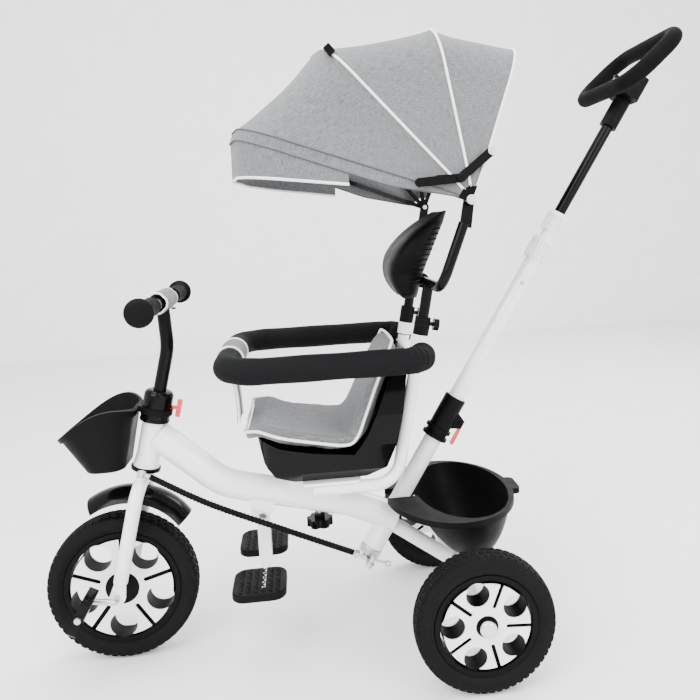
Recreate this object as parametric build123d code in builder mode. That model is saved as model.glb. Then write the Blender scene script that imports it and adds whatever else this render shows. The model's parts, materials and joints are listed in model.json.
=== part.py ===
from build123d import *
from math import atan2, cos, degrees, radians, sin, tan
import os

os.makedirs("parts", exist_ok=True)

# Children's push tricycle, millimetres. The front faces -Y, the child's left is +X, Z is up and
# the wheels stand on Z = 0. Side-view points are (distance behind the front axle, height).

# ---------------------------------------------------------------- overall layout
front_axle_y = -427.0          # front axle, so that the origin is under the middle
wheel_base = 584.0
front_wheel_radius = 127.0     # 10 inch wheel
rear_wheel_radius = 110.5
rear_track = 412.0             # between the middles of the rear tyres
running = 0.05                 # radial clearance of a turning or sliding fit
gap = 0.4                      # between pieces that only lie side by side

# ---------------------------------------------------------------- wheels
tyre_width = 46.0
tyre_depth = 30.0
rim_wall = 4.0
web_thickness = 8.0
disc_thickness = 2.0
axle_radius = 5.0
rear_axle_radius = 6.0
spoke_count = 5

# ---------------------------------------------------------------- steering
steer_angle = 75.8             # of the steering axis, from level
leg_x = 50.0
leg_radius = 11.5
leg_wall = 1.8
crown_s = 190.0                # distances along the steering axis, from the front axle
leg_end_s = 26.0
steerer_radius = 13.0
head_bottom_s = 212.5
head_top_s = 292.0
cup_bottom_s = 205.5
arm_thickness = 3.6
head_radius = 19.0
head_flare = 3.0
collar_top_s = 346.0
collar_radius = 24.5
stem_radius = 11.0
bar_height = 614.0
bar_y = 100.0
bar_half = 182.0
grip_length = 92.0
grip_radius = 14.5
arm_reach = 38.0               # link arms, from each steering axis

# ---------------------------------------------------------------- frame
main_radius = 25.0
main_wall = 2.0
housing_radius = 16.0
spindle_radius = 12.5
pole_angle = 57.9              # of the push pole, from level
pole_foot = (488.0, 236.0)     # a point on the push pole's axis
block_half = 25.0
block_front = 294.0
block_rear = 380.0
block_top = 303.0
beam_radius = 14.0
beam_end = 165.0

# ---------------------------------------------------------------- push pole
housing_top_t = 125.0          # distances along the pole's axis, from pole_foot
sleeve_top_t = 206.0
sleeve_radius = 19.5
lower_tube_radius = 14.0
tube_wall = 1.6
lower_tube_top_t = 510.0
mid_tube_radius = 11.9
mid_tube_top_t = 562.0
upper_tube_radius = 9.9
upper_tube_top_t = 790.0
collar_length = 40.0

# ---------------------------------------------------------------- seat
plate_thickness = 4.0
shell_half = 118.0
shell_wall = 4.0
pad_thickness = 18.0
post_x = 80.0
post_radius = 10.5
post_bore = 9.0
guard_radius = 21.0
guard_half = 159.0
guard_height = 513.0
guard_front = 210.0
guard_rear = 519.0

# ---------------------------------------------------------------- canopy
pivot = (589.0, 754.0)         # of all the bows, in side view
canopy_half = 208.0            # outside of the fabric
fabric = 2.0
bow_strip = 2.7
bow_depth = 8.0
bow_sink = 2.7                 # bows below the fabric, which runs straight between them
bow_pin = 4.0
rear_bow = (67.5, 266.0)       # angle from level and reach from the pivot
second_bow = (97.0, 281.0)
first_bow = (130.0, 328.0)
front_bow = (159.5, 372.0)
roof_corner = 82.0
splay = 50.0                   # of a bow's legs, up to the shoulder
leg_foot = 40.0                # where a bow's leg starts to lean in

side = Plane(origin=(0, front_axle_y, 0), x_dir=(0, 1, 0), z_dir=(1, 0, 0))
ground = Plane(origin=(0, front_axle_y, 0))


def at(x, y, z):
    return Vector(x, front_axle_y + y, z)


def along(x, point, angle, distance, across=0.0):
    """Point reached from a side-view point, along an angle and then square to it."""
    a = radians(angle)
    y = point[0] + distance * cos(a) - across * sin(a)
    z = point[1] + distance * sin(a) + across * cos(a)
    return at(x, y, z)


def axis_plane(point, angle, distance=0.0, x=0.0):
    """Plane square to a side-view direction, with its own x across the tricycle."""
    a = radians(angle)
    return Plane(origin=along(x, point, angle, distance), x_dir=(1, 0, 0), z_dir=(0, cos(a), sin(a)))


front_hub = (0.0, front_wheel_radius)
rear_hub = (wheel_base, rear_wheel_radius)


def steer_plane(s):
    return axis_plane(front_hub, steer_angle, s)


def pole_plane(t):
    return axis_plane(pole_foot, pole_angle, t)


def on_steer(x, s, across=0.0):
    return along(x, front_hub, steer_angle, s, across)


def on_pole(x, t, across=0.0):
    return along(x, pole_foot, pole_angle, t, across)


def bent_rod(points, bends, radius, bore=0.0):
    with BuildPart() as rod:
        with BuildLine() as route:
            if len(points) == 2:
                Line(*points)
            else:
                FilletPolyline(*points, radius=bends)
        with BuildSketch(Plane(origin=route.line @ 0, z_dir=route.line % 0)):
            Circle(radius)
            if bore:
                Circle(bore, mode=Mode.SUBTRACT)
        sweep(path=route.line)
    return rod.part


def turned(plane, radius, length, bore=0.0, edge=0.0):
    """Round piece that starts on a plane, with rounded end edges."""
    with BuildPart() as piece:
        with BuildSketch(plane):
            Circle(radius)
        extrude(amount=length)
        if edge:
            fillet(piece.edges().filter_by(GeomType.CIRCLE), edge)
        if bore:
            with BuildSketch(plane):
                Circle(bore)
            extrude(amount=length, mode=Mode.SUBTRACT)
    return piece.part


def hole(plane, radius, both, mode=Mode.SUBTRACT):
    """Round hole through the part being built, to both sides of a plane."""
    with BuildSketch(plane) as outline:
        Circle(radius)
    extrude(outline.sketch, amount=both, both=True, mode=mode)


# ================================================================ wheels
def wheel_side(hub, x):
    return Plane(origin=at(x, hub[0], hub[1]), x_dir=(0, 1, 0), z_dir=(1, 0, 0))


def wheel_section(hub, x):
    return Plane(origin=at(x, hub[0], hub[1]), x_dir=(1, 0, 0), z_dir=(0, -1, 0))


def wheel_axis(hub):
    return Axis(at(0, hub[0], hub[1]), (1, 0, 0))


def build_tyre(hub, x, radius):
    seat = radius - tyre_depth
    half = tyre_width / 2
    shoulder = radius - 13
    with BuildPart() as tyre:
        with BuildSketch(wheel_section(hub, x)):
            with BuildLine():
                ThreePointArc((-half + 4, shoulder + 4), (0, radius), (half - 4, shoulder + 4))
                Line((half - 4, shoulder + 4), (half, shoulder - 4))
                Line((half, shoulder - 4), (half - 4, seat))
                Line((half - 4, seat), (-half + 4, seat))
                Line((-half + 4, seat), (-half, shoulder - 4))
                Line((-half, shoulder - 4), (-half + 4, shoulder + 4))
            make_face()
        revolve(axis=wheel_axis(hub))
    return tyre.part


def disc_radius(radius):
    return radius - tyre_depth - 12 if radius > 120 else radius - tyre_depth - 13


def build_rim(hub, x, radius, phase, bore, cup):
    seat = radius - tyre_depth
    half = tyre_width / 2 - 4
    face = half - disc_thickness
    disc = disc_radius(radius)
    window = 0.272 * disc
    with BuildPart() as rim:
        with BuildSketch(wheel_section(hub, x)):
            with Locations((0, seat - rim_wall)):
                Rectangle(2 * half, 2 * rim_wall)
            with Locations(((0, (disc + 2) / 2))):
                Rectangle(web_thickness, disc + 2)
            with Locations((0, cup / 2)):
                Rectangle(2 * half, cup)
        revolve(axis=wheel_axis(hub))
        with BuildSketch(wheel_side(hub, x)):
            with PolarLocations(0.775 * disc, spoke_count, start_angle=phase):
                Circle(window + 2)
            with PolarLocations(0.66 * disc, spoke_count, start_angle=phase + 36):
                SlotOverall(0.56 * disc, 0.09 * disc + 4)
        extrude(amount=face, both=True)
        with BuildSketch(wheel_side(hub, x)):
            with PolarLocations(0.775 * disc, spoke_count, start_angle=phase):
                Circle(window)
        extrude(amount=half, both=True, mode=Mode.SUBTRACT)
        for end in (x + half - 6, x - half):
            with BuildSketch(wheel_side(hub, end)):
                with PolarLocations(0.66 * disc, spoke_count, start_angle=phase + 36):
                    SlotOverall(0.56 * disc - 4, 0.09 * disc)
            extrude(amount=6, mode=Mode.SUBTRACT)
        with BuildSketch(wheel_side(hub, x)):
            Circle(bore)
        extrude(amount=tyre_width, both=True, mode=Mode.SUBTRACT)
        with BuildSketch(wheel_section(hub, x)):
            Rectangle(4 * half, 2 * seat + 8 * rim_wall)
            Rectangle(4 * half, 2 * seat, mode=Mode.SUBTRACT)
        revolve(axis=wheel_axis(hub), mode=Mode.SUBTRACT)
    return rim.part


def build_discs(hub, x, radius, phase, cup):
    """The two white cover discs of one wheel, one on each face."""
    disc = disc_radius(radius)
    face = tyre_width / 2 - 4 - disc_thickness
    with BuildPart() as discs:
        for start in (x + face, x - face - disc_thickness):
            with BuildSketch(wheel_side(hub, start)):
                Circle(disc)
                Circle(cup + gap, mode=Mode.SUBTRACT)
                with PolarLocations(0.775 * disc, spoke_count, start_angle=phase):
                    Circle(0.272 * disc, mode=Mode.SUBTRACT)
                with PolarLocations(0.74 * disc, spoke_count, start_angle=phase + 36):
                    SlotOverall(0.60 * disc, 0.09 * disc, mode=Mode.SUBTRACT)
            extrude(amount=disc_thickness)
    return discs.part


front_cup = 28.0
rear_cup = 17.0
front_phase = 51.5
rear_phase = 32.0

with BuildPart() as front_tyre:
    add(build_tyre(front_hub, 0, front_wheel_radius))
front_tyre.part.label = "front_tyre"
export_step(front_tyre.part, "parts/front_tyre.step")

with BuildPart() as front_rim:
    add(build_rim(front_hub, 0, front_wheel_radius, front_phase, axle_radius, front_cup))
front_rim.part.label = "front_rim"
export_step(front_rim.part, "parts/front_rim.step")

with BuildPart() as front_discs:
    add(build_discs(front_hub, 0, front_wheel_radius, front_phase, front_cup))
front_discs.part.label = "front_discs"
export_step(front_discs.part, "parts/front_discs.step")

for name, x in (("left", rear_track / 2), ("right", -rear_track / 2)):
    with BuildPart() as rear_tyre:
        add(build_tyre(rear_hub, x, rear_wheel_radius))
    rear_tyre.part.label = f"rear_tyre_{name}"
    export_step(rear_tyre.part, f"parts/rear_tyre_{name}.step")

    with BuildPart() as rear_rim:
        bore = rear_axle_radius + running
        add(build_rim(rear_hub, x, rear_wheel_radius, rear_phase, bore, rear_cup))
    rear_rim.part.label = f"rear_rim_{name}"
    export_step(rear_rim.part, f"parts/rear_rim_{name}.step")

    with BuildPart() as rear_discs:
        add(build_discs(rear_hub, x, rear_wheel_radius, rear_phase, rear_cup))
    rear_discs.part.label = f"rear_discs_{name}"
    export_step(rear_discs.part, f"parts/rear_discs_{name}.step")

# ---------------------------------------------------------------- crank axle and pedals
crank_x = leg_x + leg_radius + axle_radius + 1.5
crank_reach = 42.0
crank_angle = 170.0            # of the left crank, from straight back
pin_end = crank_x + 62
pedal_length = 66.0
pedal_width = 48.0
pedal_thickness = 16.0
pedal_tilt = 60.0
left_pin = along(0, front_hub, crank_angle, crank_reach)
right_pin = along(0, front_hub, crank_angle + 180, crank_reach)

with BuildPart() as crank_axle:
    crank_points = [
        Vector(pin_end, left_pin.Y, left_pin.Z),
        Vector(crank_x, left_pin.Y, left_pin.Z),
        at(crank_x, *front_hub),
        at(-crank_x, *front_hub),
        Vector(-crank_x, right_pin.Y, right_pin.Z),
        Vector(-pin_end, right_pin.Y, right_pin.Z),
    ]
    add(bent_rod(crank_points, 7, axle_radius))
crank_axle.part.label = "crank_axle"
export_step(crank_axle.part, "parts/crank_axle.step")


def build_pedal(pin, direction):
    """Pedal block with a bore for the crank's pin and grip bars across its two faces."""
    tilt = radians(pedal_tilt)
    middle = direction * (crank_x + 9 + pedal_width / 2)
    flat = Plane(origin=(middle, pin.Y, pin.Z), x_dir=(1, 0, 0), z_dir=(0, -sin(tilt), cos(tilt)))
    with BuildPart() as pedal:
        with BuildSketch(flat):
            RectangleRounded(pedal_width, pedal_length, 9)
        extrude(amount=pedal_thickness / 2, both=True)
        with BuildSketch(flat):
            with Locations((0, 20), (0, -20)):
                RectangleRounded(pedal_width - 14, 13, 4)
        extrude(amount=pedal_thickness, both=True, mode=Mode.SUBTRACT)
        hole(Plane(origin=(middle, pin.Y, pin.Z), z_dir=(1, 0, 0)), axle_radius + running, pedal_width)
    return pedal.part


for name, pin, direction in (("left", left_pin, 1), ("right", right_pin, -1)):
    with BuildPart() as pedal:
        add(build_pedal(pin, direction))
    pedal.part.label = f"pedal_{name}"
    export_step(pedal.part, f"parts/pedal_{name}.step")

# ================================================================ frame
main_route = [(75, 385), (180, 290), (400, 236), (478, 200)]
strut_end = (wheel_base - beam_radius + 4, rear_wheel_radius + 4)

with BuildPart() as main_frame:
    with BuildSketch(steer_plane(head_bottom_s)):
        Circle(head_radius + head_flare)
    with BuildSketch(steer_plane(head_bottom_s + 22)):
        Circle(head_radius)
    loft()
    with BuildSketch(steer_plane(head_bottom_s + 22)):
        Circle(head_radius)
    extrude(amount=head_top_s - head_bottom_s - 22)
    add(bent_rod([at(0, *p) for p in main_route], [110, 140], main_radius))
    add(turned(pole_plane(-100), housing_radius + 3, 45))
    add(turned(pole_plane(-60), housing_radius, housing_top_t + 60))
    add(bent_rod([at(0, 462, 196), at(0, *strut_end)], 0, 13))
    add(turned(Plane(origin=at(-beam_end, *rear_hub), z_dir=(1, 0, 0)), beam_radius, 2 * beam_end))
    with BuildSketch(ground.offset(block_top)):
        with Locations((0, (block_front + block_rear) / 2)):
            Rectangle(2 * block_half, block_rear - block_front)
    extrude(amount=-48)
    with BuildSketch(side):
        with BuildLine():
            Polyline((226, 262), (266, 256), (264, 238), (245, 219), (226, 238), close=True)
        make_face()
    extrude(amount=20, both=True)
    # inside of the main tube, open through a small drain hole underneath
    hollow = [at(0, *p) for p in [(107, 356), main_route[1], main_route[2], (440, 217.5)]]
    add(bent_rod(hollow, [110, 140], main_radius - main_wall), mode=Mode.SUBTRACT)
    with BuildSketch(ground.offset(225)):
        with Locations((0, 398)):
            Circle(3)
    extrude(amount=-20, both=True, mode=Mode.SUBTRACT)
    # bores
    hole(steer_plane((head_bottom_s + head_top_s) / 2), steerer_radius + 2, 60)
    with BuildSketch(pole_plane(-110)):
        Circle(spindle_radius + running)
    extrude(amount=housing_top_t + 120, mode=Mode.SUBTRACT)
    hole(Plane(origin=at(0, *rear_hub), z_dir=(1, 0, 0)), rear_axle_radius, 200)
    # slot and bolt hole for the footrest leg, seat bolt hole
    with BuildSketch(side):
        with BuildLine():
            Polyline((221, 246), (270, 246), (270, 210), (221, 210), close=True)
        make_face()
    extrude(amount=11 + gap, both=True, mode=Mode.SUBTRACT)
    hole(Plane(origin=at(0, 245, 233), z_dir=(1, 0, 0)), 4, 30)
    with BuildSketch(ground.offset(block_top)):
        with Locations((0, 343)):
            Circle(4 + running)
    extrude(amount=-100, mode=Mode.SUBTRACT)
main_frame.part.label = "main_frame"
export_step(main_frame.part, "parts/main_frame.step")

with BuildPart() as head_cups:
    for s, length in ((cup_bottom_s, head_bottom_s - cup_bottom_s), (head_top_s, 5)):
        add(turned(steer_plane(s), head_radius + head_flare + 3, length, steerer_radius + running, 1.5))
head_cups.part.label = "head_cups"
export_step(head_cups.part, "parts/head_cups.step")

axle_end = rear_track / 2 + tyre_width / 2 + 6
wheel_inner = rear_track / 2 - tyre_width / 2 + 4
with BuildPart() as rear_axle:
    for x, length, radius in (
        (-axle_end, 2 * axle_end, rear_axle_radius),
        (beam_end + gap, wheel_inner - beam_end - 2 * gap, rear_axle_radius + 4),
        (gap - wheel_inner, wheel_inner - beam_end - 2 * gap, rear_axle_radius + 4),
    ):
        add(turned(Plane(origin=at(x, *rear_hub), z_dir=(1, 0, 0)), radius, length))
    for end, direction in ((axle_end - 7, 1), (-axle_end + 7, -1)):
        with BuildSketch(Plane(origin=at(end, *rear_hub), z_dir=(direction, 0, 0))):
            Circle(13)
        extrude(amount=9)
    fillet(rear_axle.faces().sort_by(Axis.X)[-1].edges(), 3.5)
    fillet(rear_axle.faces().sort_by(Axis.X)[0].edges(), 3.5)
rear_axle.part.label = "rear_axle"
export_step(rear_axle.part, "parts/rear_axle.step")

# ================================================================ fork
arm_s = crown_s + leg_radius - 1
with BuildPart() as fork:
    legs = [
        on_steer(leg_x, leg_end_s),
        on_steer(leg_x, crown_s),
        on_steer(-leg_x, crown_s),
        on_steer(-leg_x, leg_end_s),
    ]
    add(bent_rod(legs, 36, leg_radius, leg_radius - leg_wall))
    with BuildSketch(steer_plane(crown_s)):
        Circle(steerer_radius)
    extrude(amount=collar_top_s - 12 - crown_s)
    # arm of the steering link, above the crown
    with BuildSketch(steer_plane(arm_s)):
        with Locations((arm_reach, 0)):
            Circle(6.5)
        with Locations((arm_reach / 2, 0)):
            Rectangle(arm_reach, 13)
        Circle(16)
    extrude(amount=arm_thickness)
    with BuildSketch(steer_plane(arm_s)):
        with Locations((arm_reach, 0)):
            Circle(2.5)
    extrude(amount=14)
    # flattened ends with the axle's eyes
    lean = radians(steer_angle)
    toe = Vector(cos(lean), sin(lean)) * leg_end_s
    out = Vector(-sin(lean), cos(lean))
    for x in (leg_x, -leg_x):
        add(turned(axis_plane(front_hub, steer_angle, leg_end_s, x), leg_radius - leg_wall, 14))
        eye = Plane(origin=at(x - 2.5, *front_hub), x_dir=(0, 1, 0), z_dir=(1, 0, 0))
        with BuildSketch(eye):
            Circle(13)
            with BuildLine():
                Polyline(toe + out * 9, out * 13, out * -13, toe - out * 9, close=True)
            make_face()
        extrude(amount=5)
        hole(eye, axle_radius + running, 20)
    with BuildSketch(steer_plane(head_top_s + 5)):
        Circle(stem_radius)
    extrude(amount=80, mode=Mode.SUBTRACT)
fork.part.label = "fork"
export_step(fork.part, "parts/fork.step")

fender_centre = (17.5, 177.0)
fender_radius = 124.0
fender_half = 36.0
fender_wall = 2.5
with BuildPart() as fender:
    fender_start = radians(33)
    cross = Plane(
        origin=at(0, *fender_centre),
        x_dir=(1, 0, 0),
        z_dir=(0, -sin(fender_start), cos(fender_start)),
    )
    with BuildSketch(cross):
        with BuildLine():
            ThreePointArc((-fender_half, 104), (0, fender_radius), (fender_half, 104))
            Line((fender_half, 104), (fender_half - fender_wall, 104))
            ThreePointArc(
                (fender_half - fender_wall, 104),
                (0, fender_radius - fender_wall),
                (-fender_half + fender_wall, 104),
            )
            Line((-fender_half + fender_wall, 104), (-fender_half, 104))
        make_face()
    revolve(axis=Axis(at(0, *fender_centre), (1, 0, 0)), revolution_arc=89)
fender.part.label = "fender"
export_step(fender.part, "parts/fender.step")

# ---------------------------------------------------------------- stem, handlebar, grips
with BuildPart() as handlebar:
    stem = [on_steer(0, head_top_s + 10), on_steer(0, 421), at(0, bar_y, bar_height - 6)]
    add(bent_rod(stem, 120, stem_radius, stem_radius - 1.8))
    add(turned(Plane(origin=at(-bar_half + 3, bar_y, bar_height), z_dir=(1, 0, 0)), stem_radius,
               2 * bar_half - 6))
    hole(Plane(origin=at(0, bar_y, bar_height), z_dir=(1, 0, 0)), stem_radius - 1.8, bar_half)
handlebar.part.label = "handlebar"
export_step(handlebar.part, "parts/handlebar.step")

with BuildPart() as grips:
    for direction in (1, -1):
        inner = Plane(
            origin=at(direction * (bar_half - grip_length), bar_y, bar_height),
            z_dir=(direction, 0, 0),
        )
        with BuildSketch(inner):
            Circle(grip_radius + 3)
        extrude(amount=4)
        with BuildSketch(inner):
            Circle(grip_radius)
        extrude(amount=grip_length)
        with BuildSketch(inner.offset(grip_length - 6)):
            Circle(22)
        extrude(amount=6)
        with BuildSketch(inner):
            Circle(stem_radius)
        extrude(amount=grip_length - 3, mode=Mode.SUBTRACT)
        with BuildSketch(inner):
            Circle(4)
        extrude(amount=grip_length, mode=Mode.SUBTRACT)
grips.part.label = "grips"
export_step(grips.part, "parts/grips.step")

with BuildPart() as bar_pad:
    pad_plane = Plane(origin=at(-48, bar_y, bar_height), z_dir=(1, 0, 0))
    add(turned(pad_plane, 19, 96, stem_radius + gap, 3))
    add(bent_rod([on_steer(0, 421), at(0, bar_y, bar_height)], 0, stem_radius + 1), mode=Mode.SUBTRACT)
bar_pad.part.label = "bar_pad"
export_step(bar_pad.part, "parts/bar_pad.step")

with BuildPart() as stem_collar:
    foot = head_top_s + 5 + gap
    with BuildSketch(steer_plane(foot)):
        Circle(collar_radius)
    extrude(amount=collar_top_s - foot)
    fillet(stem_collar.faces().sort_by(Axis.Z)[-1].edges(), 9)
    with BuildSketch(steer_plane(foot)):
        Circle(steerer_radius)
    extrude(amount=collar_top_s - 12 - foot, mode=Mode.SUBTRACT)
    with BuildSketch(steer_plane(foot)):
        Circle(stem_radius)
    extrude(amount=80, mode=Mode.SUBTRACT)
stem_collar.part.label = "stem_collar"
export_step(stem_collar.part, "parts/stem_collar.step")

wing_s = 320.0
with BuildPart() as wing_knob:
    wing_dir = (0, sin(radians(steer_angle)), -cos(radians(steer_angle)))
    wing_plane = Plane(origin=on_steer(0, wing_s, -collar_radius - 0.3), x_dir=(1, 0, 0), z_dir=wing_dir)
    add(turned(wing_plane, 3, 9))
    with BuildSketch(wing_plane.offset(8)):
        Circle(7)
        with Locations((0, 9), (0, -9)):
            RectangleRounded(9, 13, 3)
    extrude(amount=8)
wing_knob.part.label = "wing_knob"
export_step(wing_knob.part, "parts/wing_knob.step")

# ---------------------------------------------------------------- front basket
basket_floor = 340.0
basket_top = 452.0
basket_wall = 2.5


def basket_loft(grow, floor):
    """Flared tub of the front basket, grown or shrunk all round."""
    with BuildPart() as tub:
        for height, width, front, rear, corner in (
            (basket_floor, 98, -38, 24, 24),
            (basket_top, 152, -112, 49, 58),
        ):
            share = (floor - basket_floor) / (basket_top - basket_floor) if height == basket_floor else 0
            width += share * (152 - 98)
            front += share * (-112 + 38)
            rear += share * (49 - 24)
            with BuildSketch(ground.offset(floor if height == basket_floor else basket_top)):
                with Locations((0, (front + rear) / 2)):
                    RectangleRounded(width + 2 * grow, rear - front + 2 * grow, corner + grow)
        loft()
    return tub.part


def rim_band(above):
    """Side view of everything higher than the saddle-shaped rim, lowered by a distance."""
    with BuildPart() as band:
        with BuildSketch(side):
            with BuildLine():
                Spline((-130, 372 + above), (-77, 399 + above), (0, 445 + above), (70, 420 + above))
                Line((70, 420 + above), (70, 520))
                Line((70, 520), (-130, 520))
                Line((-130, 520), (-130, 372 + above))
            make_face()
        extrude(amount=120, both=True)
    return band.part


with BuildPart() as front_basket:
    add(basket_loft(4, basket_floor))
    add(rim_band(-11), mode=Mode.INTERSECT)
    add(basket_loft(0, basket_floor))
    add(basket_loft(-basket_wall, basket_floor + basket_wall), mode=Mode.SUBTRACT)
    add(rim_band(0), mode=Mode.SUBTRACT)
    # ring that holds the basket on the stem collar
    ring_plane = steer_plane(head_top_s + 14)
    with BuildSketch(ring_plane):
        Circle(collar_radius + 3)
        with Locations((0, -collar_radius - 1)):
            Rectangle(26, 7)
    extrude(amount=10)
    with BuildSketch(ring_plane):
        Circle(collar_radius)
    extrude(amount=10, mode=Mode.SUBTRACT)
front_basket.part.label = "front_basket"
export_step(front_basket.part, "parts/front_basket.step")

# ================================================================ push pole
link_rear = on_pole(arm_reach, -110)
with BuildPart() as pole_arm:
    add(turned(pole_plane(-116), housing_radius + 4, 15.5, 0, 3))
    with BuildSketch(pole_plane(-104)):
        Circle(spindle_radius)
    extrude(amount=10, mode=Mode.SUBTRACT)
    # arm of the steering link, bolted below the cap
    with BuildSketch(pole_plane(-120.2)):
        with Locations((arm_reach, 0)):
            Circle(8)
        with Locations((arm_reach / 2, 0)):
            Rectangle(arm_reach, 14)
        Circle(9)
    extrude(amount=4)
    with BuildSketch(pole_plane(-125)):
        with Locations((arm_reach, 0)):
            RegularPolygon(6, 6)
    extrude(amount=6)
    with BuildSketch(pole_plane(-118)):
        with Locations((arm_reach, 0)):
            Circle(4.5)
    extrude(amount=14)
    add(bent_rod([link_rear, link_rear + Vector(0, 24, -9)], 0, 2.4))
    with BuildSketch(Plane(origin=link_rear + Vector(-1.5, 28, -10.5), x_dir=(0, 1, 0), z_dir=(1, 0, 0))):
        Circle(5.5)
        Circle(2.8, mode=Mode.SUBTRACT)
    extrude(amount=3)
pole_arm.part.label = "pole_arm"
export_step(pole_arm.part, "parts/pole_arm.step")

with BuildPart() as pole_sleeve:
    foot = housing_top_t + gap
    with BuildSketch(pole_plane(foot)):
        Circle(sleeve_radius)
    extrude(amount=sleeve_top_t - foot)
    for start in (foot, foot + 14):
        with BuildSketch(pole_plane(start)):
            Circle(sleeve_radius + 4)
        extrude(amount=6)
    with BuildSketch(pole_plane(foot)):
        Circle(spindle_radius)
    extrude(amount=40, mode=Mode.SUBTRACT)
    with BuildSketch(pole_plane(foot + 32)):
        Circle(lower_tube_radius)
    extrude(amount=100, mode=Mode.SUBTRACT)
    # lug for the release trigger, on the rear side
    lug_t = 168.0
    with BuildSketch(side):
        with BuildLine():
            base = Vector(*pole_foot)
            d = Vector(cos(radians(pole_angle)), sin(radians(pole_angle)))
            n = Vector(d.Y, -d.X)
            corners = [(lug_t - 16, sleeve_radius - 3), (lug_t - 7, sleeve_radius + 15),
                       (lug_t + 7, sleeve_radius + 15), (lug_t + 16, sleeve_radius - 3)]
            Polyline(*[base + d * t + n * o for t, o in corners], close=True)
        make_face()
    extrude(amount=8, both=True)
    with BuildSketch(side):
        with Locations(base + d * lug_t + n * (sleeve_radius + 8)):
            Circle(9.5)
    extrude(amount=4 + gap, both=True, mode=Mode.SUBTRACT)
    lug_point = base + d * lug_t + n * (sleeve_radius + 8)
    with BuildSketch(side):
        with BuildLine():
            slot = [(2, -5), (-22, -1), (-22, 16), (2, 16)]
            Polyline(*[lug_point + d * a + n * b for a, b in slot], close=True)
        make_face()
    extrude(amount=4 + gap, both=True, mode=Mode.SUBTRACT)
    add(turned(Plane(origin=at(-10, lug_point.X, lug_point.Y), z_dir=(1, 0, 0)), 2.5, 20))
pole_sleeve.part.label = "pole_sleeve"
export_step(pole_sleeve.part, "parts/pole_sleeve.step")

with BuildPart() as release_trigger:
    with BuildSketch(side):
        with Locations(lug_point):
            Circle(6.5)
        with BuildLine():
            tail = [(-4, -4), (-12, 4), (-40, 4), (-42, 8), (-36, 10), (-12, 9), (3, 6)]
            Polyline(*[lug_point + d * a + n * b for a, b in tail], close=True)
        make_face()
    extrude(amount=4, both=True)
    hole(Plane(origin=at(0, lug_point.X, lug_point.Y), z_dir=(1, 0, 0)), 2.5 + running, 20)
release_trigger.part.label = "release_trigger"
export_step(release_trigger.part, "parts/release_trigger.step")

with BuildPart() as lower_tube:
    with BuildSketch(pole_plane(housing_top_t + 32 + gap)):
        Circle(lower_tube_radius)
        Circle(mid_tube_radius + running, mode=Mode.SUBTRACT)
    extrude(amount=lower_tube_top_t - housing_top_t - 32 - gap)
    # solid spindle below it, which turns in the frame's housing
    with BuildSketch(pole_plane(-104)):
        Circle(spindle_radius)
    extrude(amount=housing_top_t + 104 + 40)
lower_tube.part.label = "lower_pole_tube"
export_step(lower_tube.part, "parts/lower_pole_tube.step")

with BuildPart() as mid_tube:
    with BuildSketch(pole_plane(mid_tube_top_t - 190)):
        Circle(mid_tube_radius)
        Circle(upper_tube_radius + running, mode=Mode.SUBTRACT)
    extrude(amount=190)
mid_tube.part.label = "mid_pole_tube"
export_step(mid_tube.part, "parts/mid_pole_tube.step")

with BuildPart() as upper_tube:
    with BuildSketch(pole_plane(upper_tube_top_t - 330)):
        Circle(upper_tube_radius)
        Circle(upper_tube_radius - tube_wall, mode=Mode.SUBTRACT)
    extrude(amount=330)
upper_tube.part.label = "upper_pole_tube"
export_step(upper_tube.part, "parts/upper_pole_tube.step")


def build_twist_collar(start, length, bore, radius):
    """Ribbed locking collar, wider at its foot."""
    with BuildPart() as ring:
        with BuildSketch(pole_plane(start)):
            Circle(radius)
        extrude(amount=length)
        with BuildSketch(pole_plane(start)):
            with PolarLocations(radius, 16):
                Rectangle(2.4, 2.4)
        extrude(amount=length - 12)
        with BuildSketch(pole_plane(start + length - 8)):
            Circle(radius + 1.8)
        extrude(amount=8)
        with BuildSketch(pole_plane(start)):
            Circle(bore)
        extrude(amount=length, mode=Mode.SUBTRACT)
    return ring.part


with BuildPart() as lower_collar:
    step = lower_tube_top_t - 22
    add(build_twist_collar(step, collar_length, mid_tube_radius + running, 17.5))
    with BuildSketch(pole_plane(step)):
        Circle(lower_tube_radius + running)
    extrude(amount=22 + gap, mode=Mode.SUBTRACT)
lower_collar.part.label = "lower_twist_collar"
export_step(lower_collar.part, "parts/lower_twist_collar.step")

with BuildPart() as upper_collar:
    step = mid_tube_top_t - 18
    add(build_twist_collar(step, collar_length - 4, upper_tube_radius + running, 15.5))
    with BuildSketch(pole_plane(step)):
        Circle(mid_tube_radius + running)
    extrude(amount=18 + gap, mode=Mode.SUBTRACT)
upper_collar.part.label = "upper_twist_collar"
export_step(upper_collar.part, "parts/upper_twist_collar.step")

with BuildPart() as handle_hub:
    with BuildSketch(pole_plane(upper_tube_top_t - 35)):
        Circle(15)
    extrude(amount=80)
    with BuildSketch(pole_plane(upper_tube_top_t + 20)):
        RectangleRounded(62, 34, 8)
    extrude(amount=42)
    with BuildSketch(pole_plane(upper_tube_top_t - 35)):
        Circle(upper_tube_radius)
    extrude(amount=35, mode=Mode.SUBTRACT)
    loop_front = (883.0, 936.0)
    hole(Plane(origin=at(0, *loop_front), z_dir=(1, 0, 0)), 13.5, 60)
handle_hub.part.label = "handle_hub"
export_step(handle_hub.part, "parts/handle_hub.step")

loop_rear = (968.0, 1012.0)
loop_half = 112.0
with BuildPart() as handle_loop:
    loop_points = [
        at(-20, *loop_front), at(loop_half, *loop_front), at(loop_half, *loop_rear),
        at(-loop_half, *loop_rear), at(-loop_half, *loop_front), at(-19, *loop_front),
    ]
    add(bent_rod(loop_points, 42, 13.5))
handle_loop.part.label = "handle_loop"
export_step(handle_loop.part, "parts/handle_loop.step")

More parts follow.
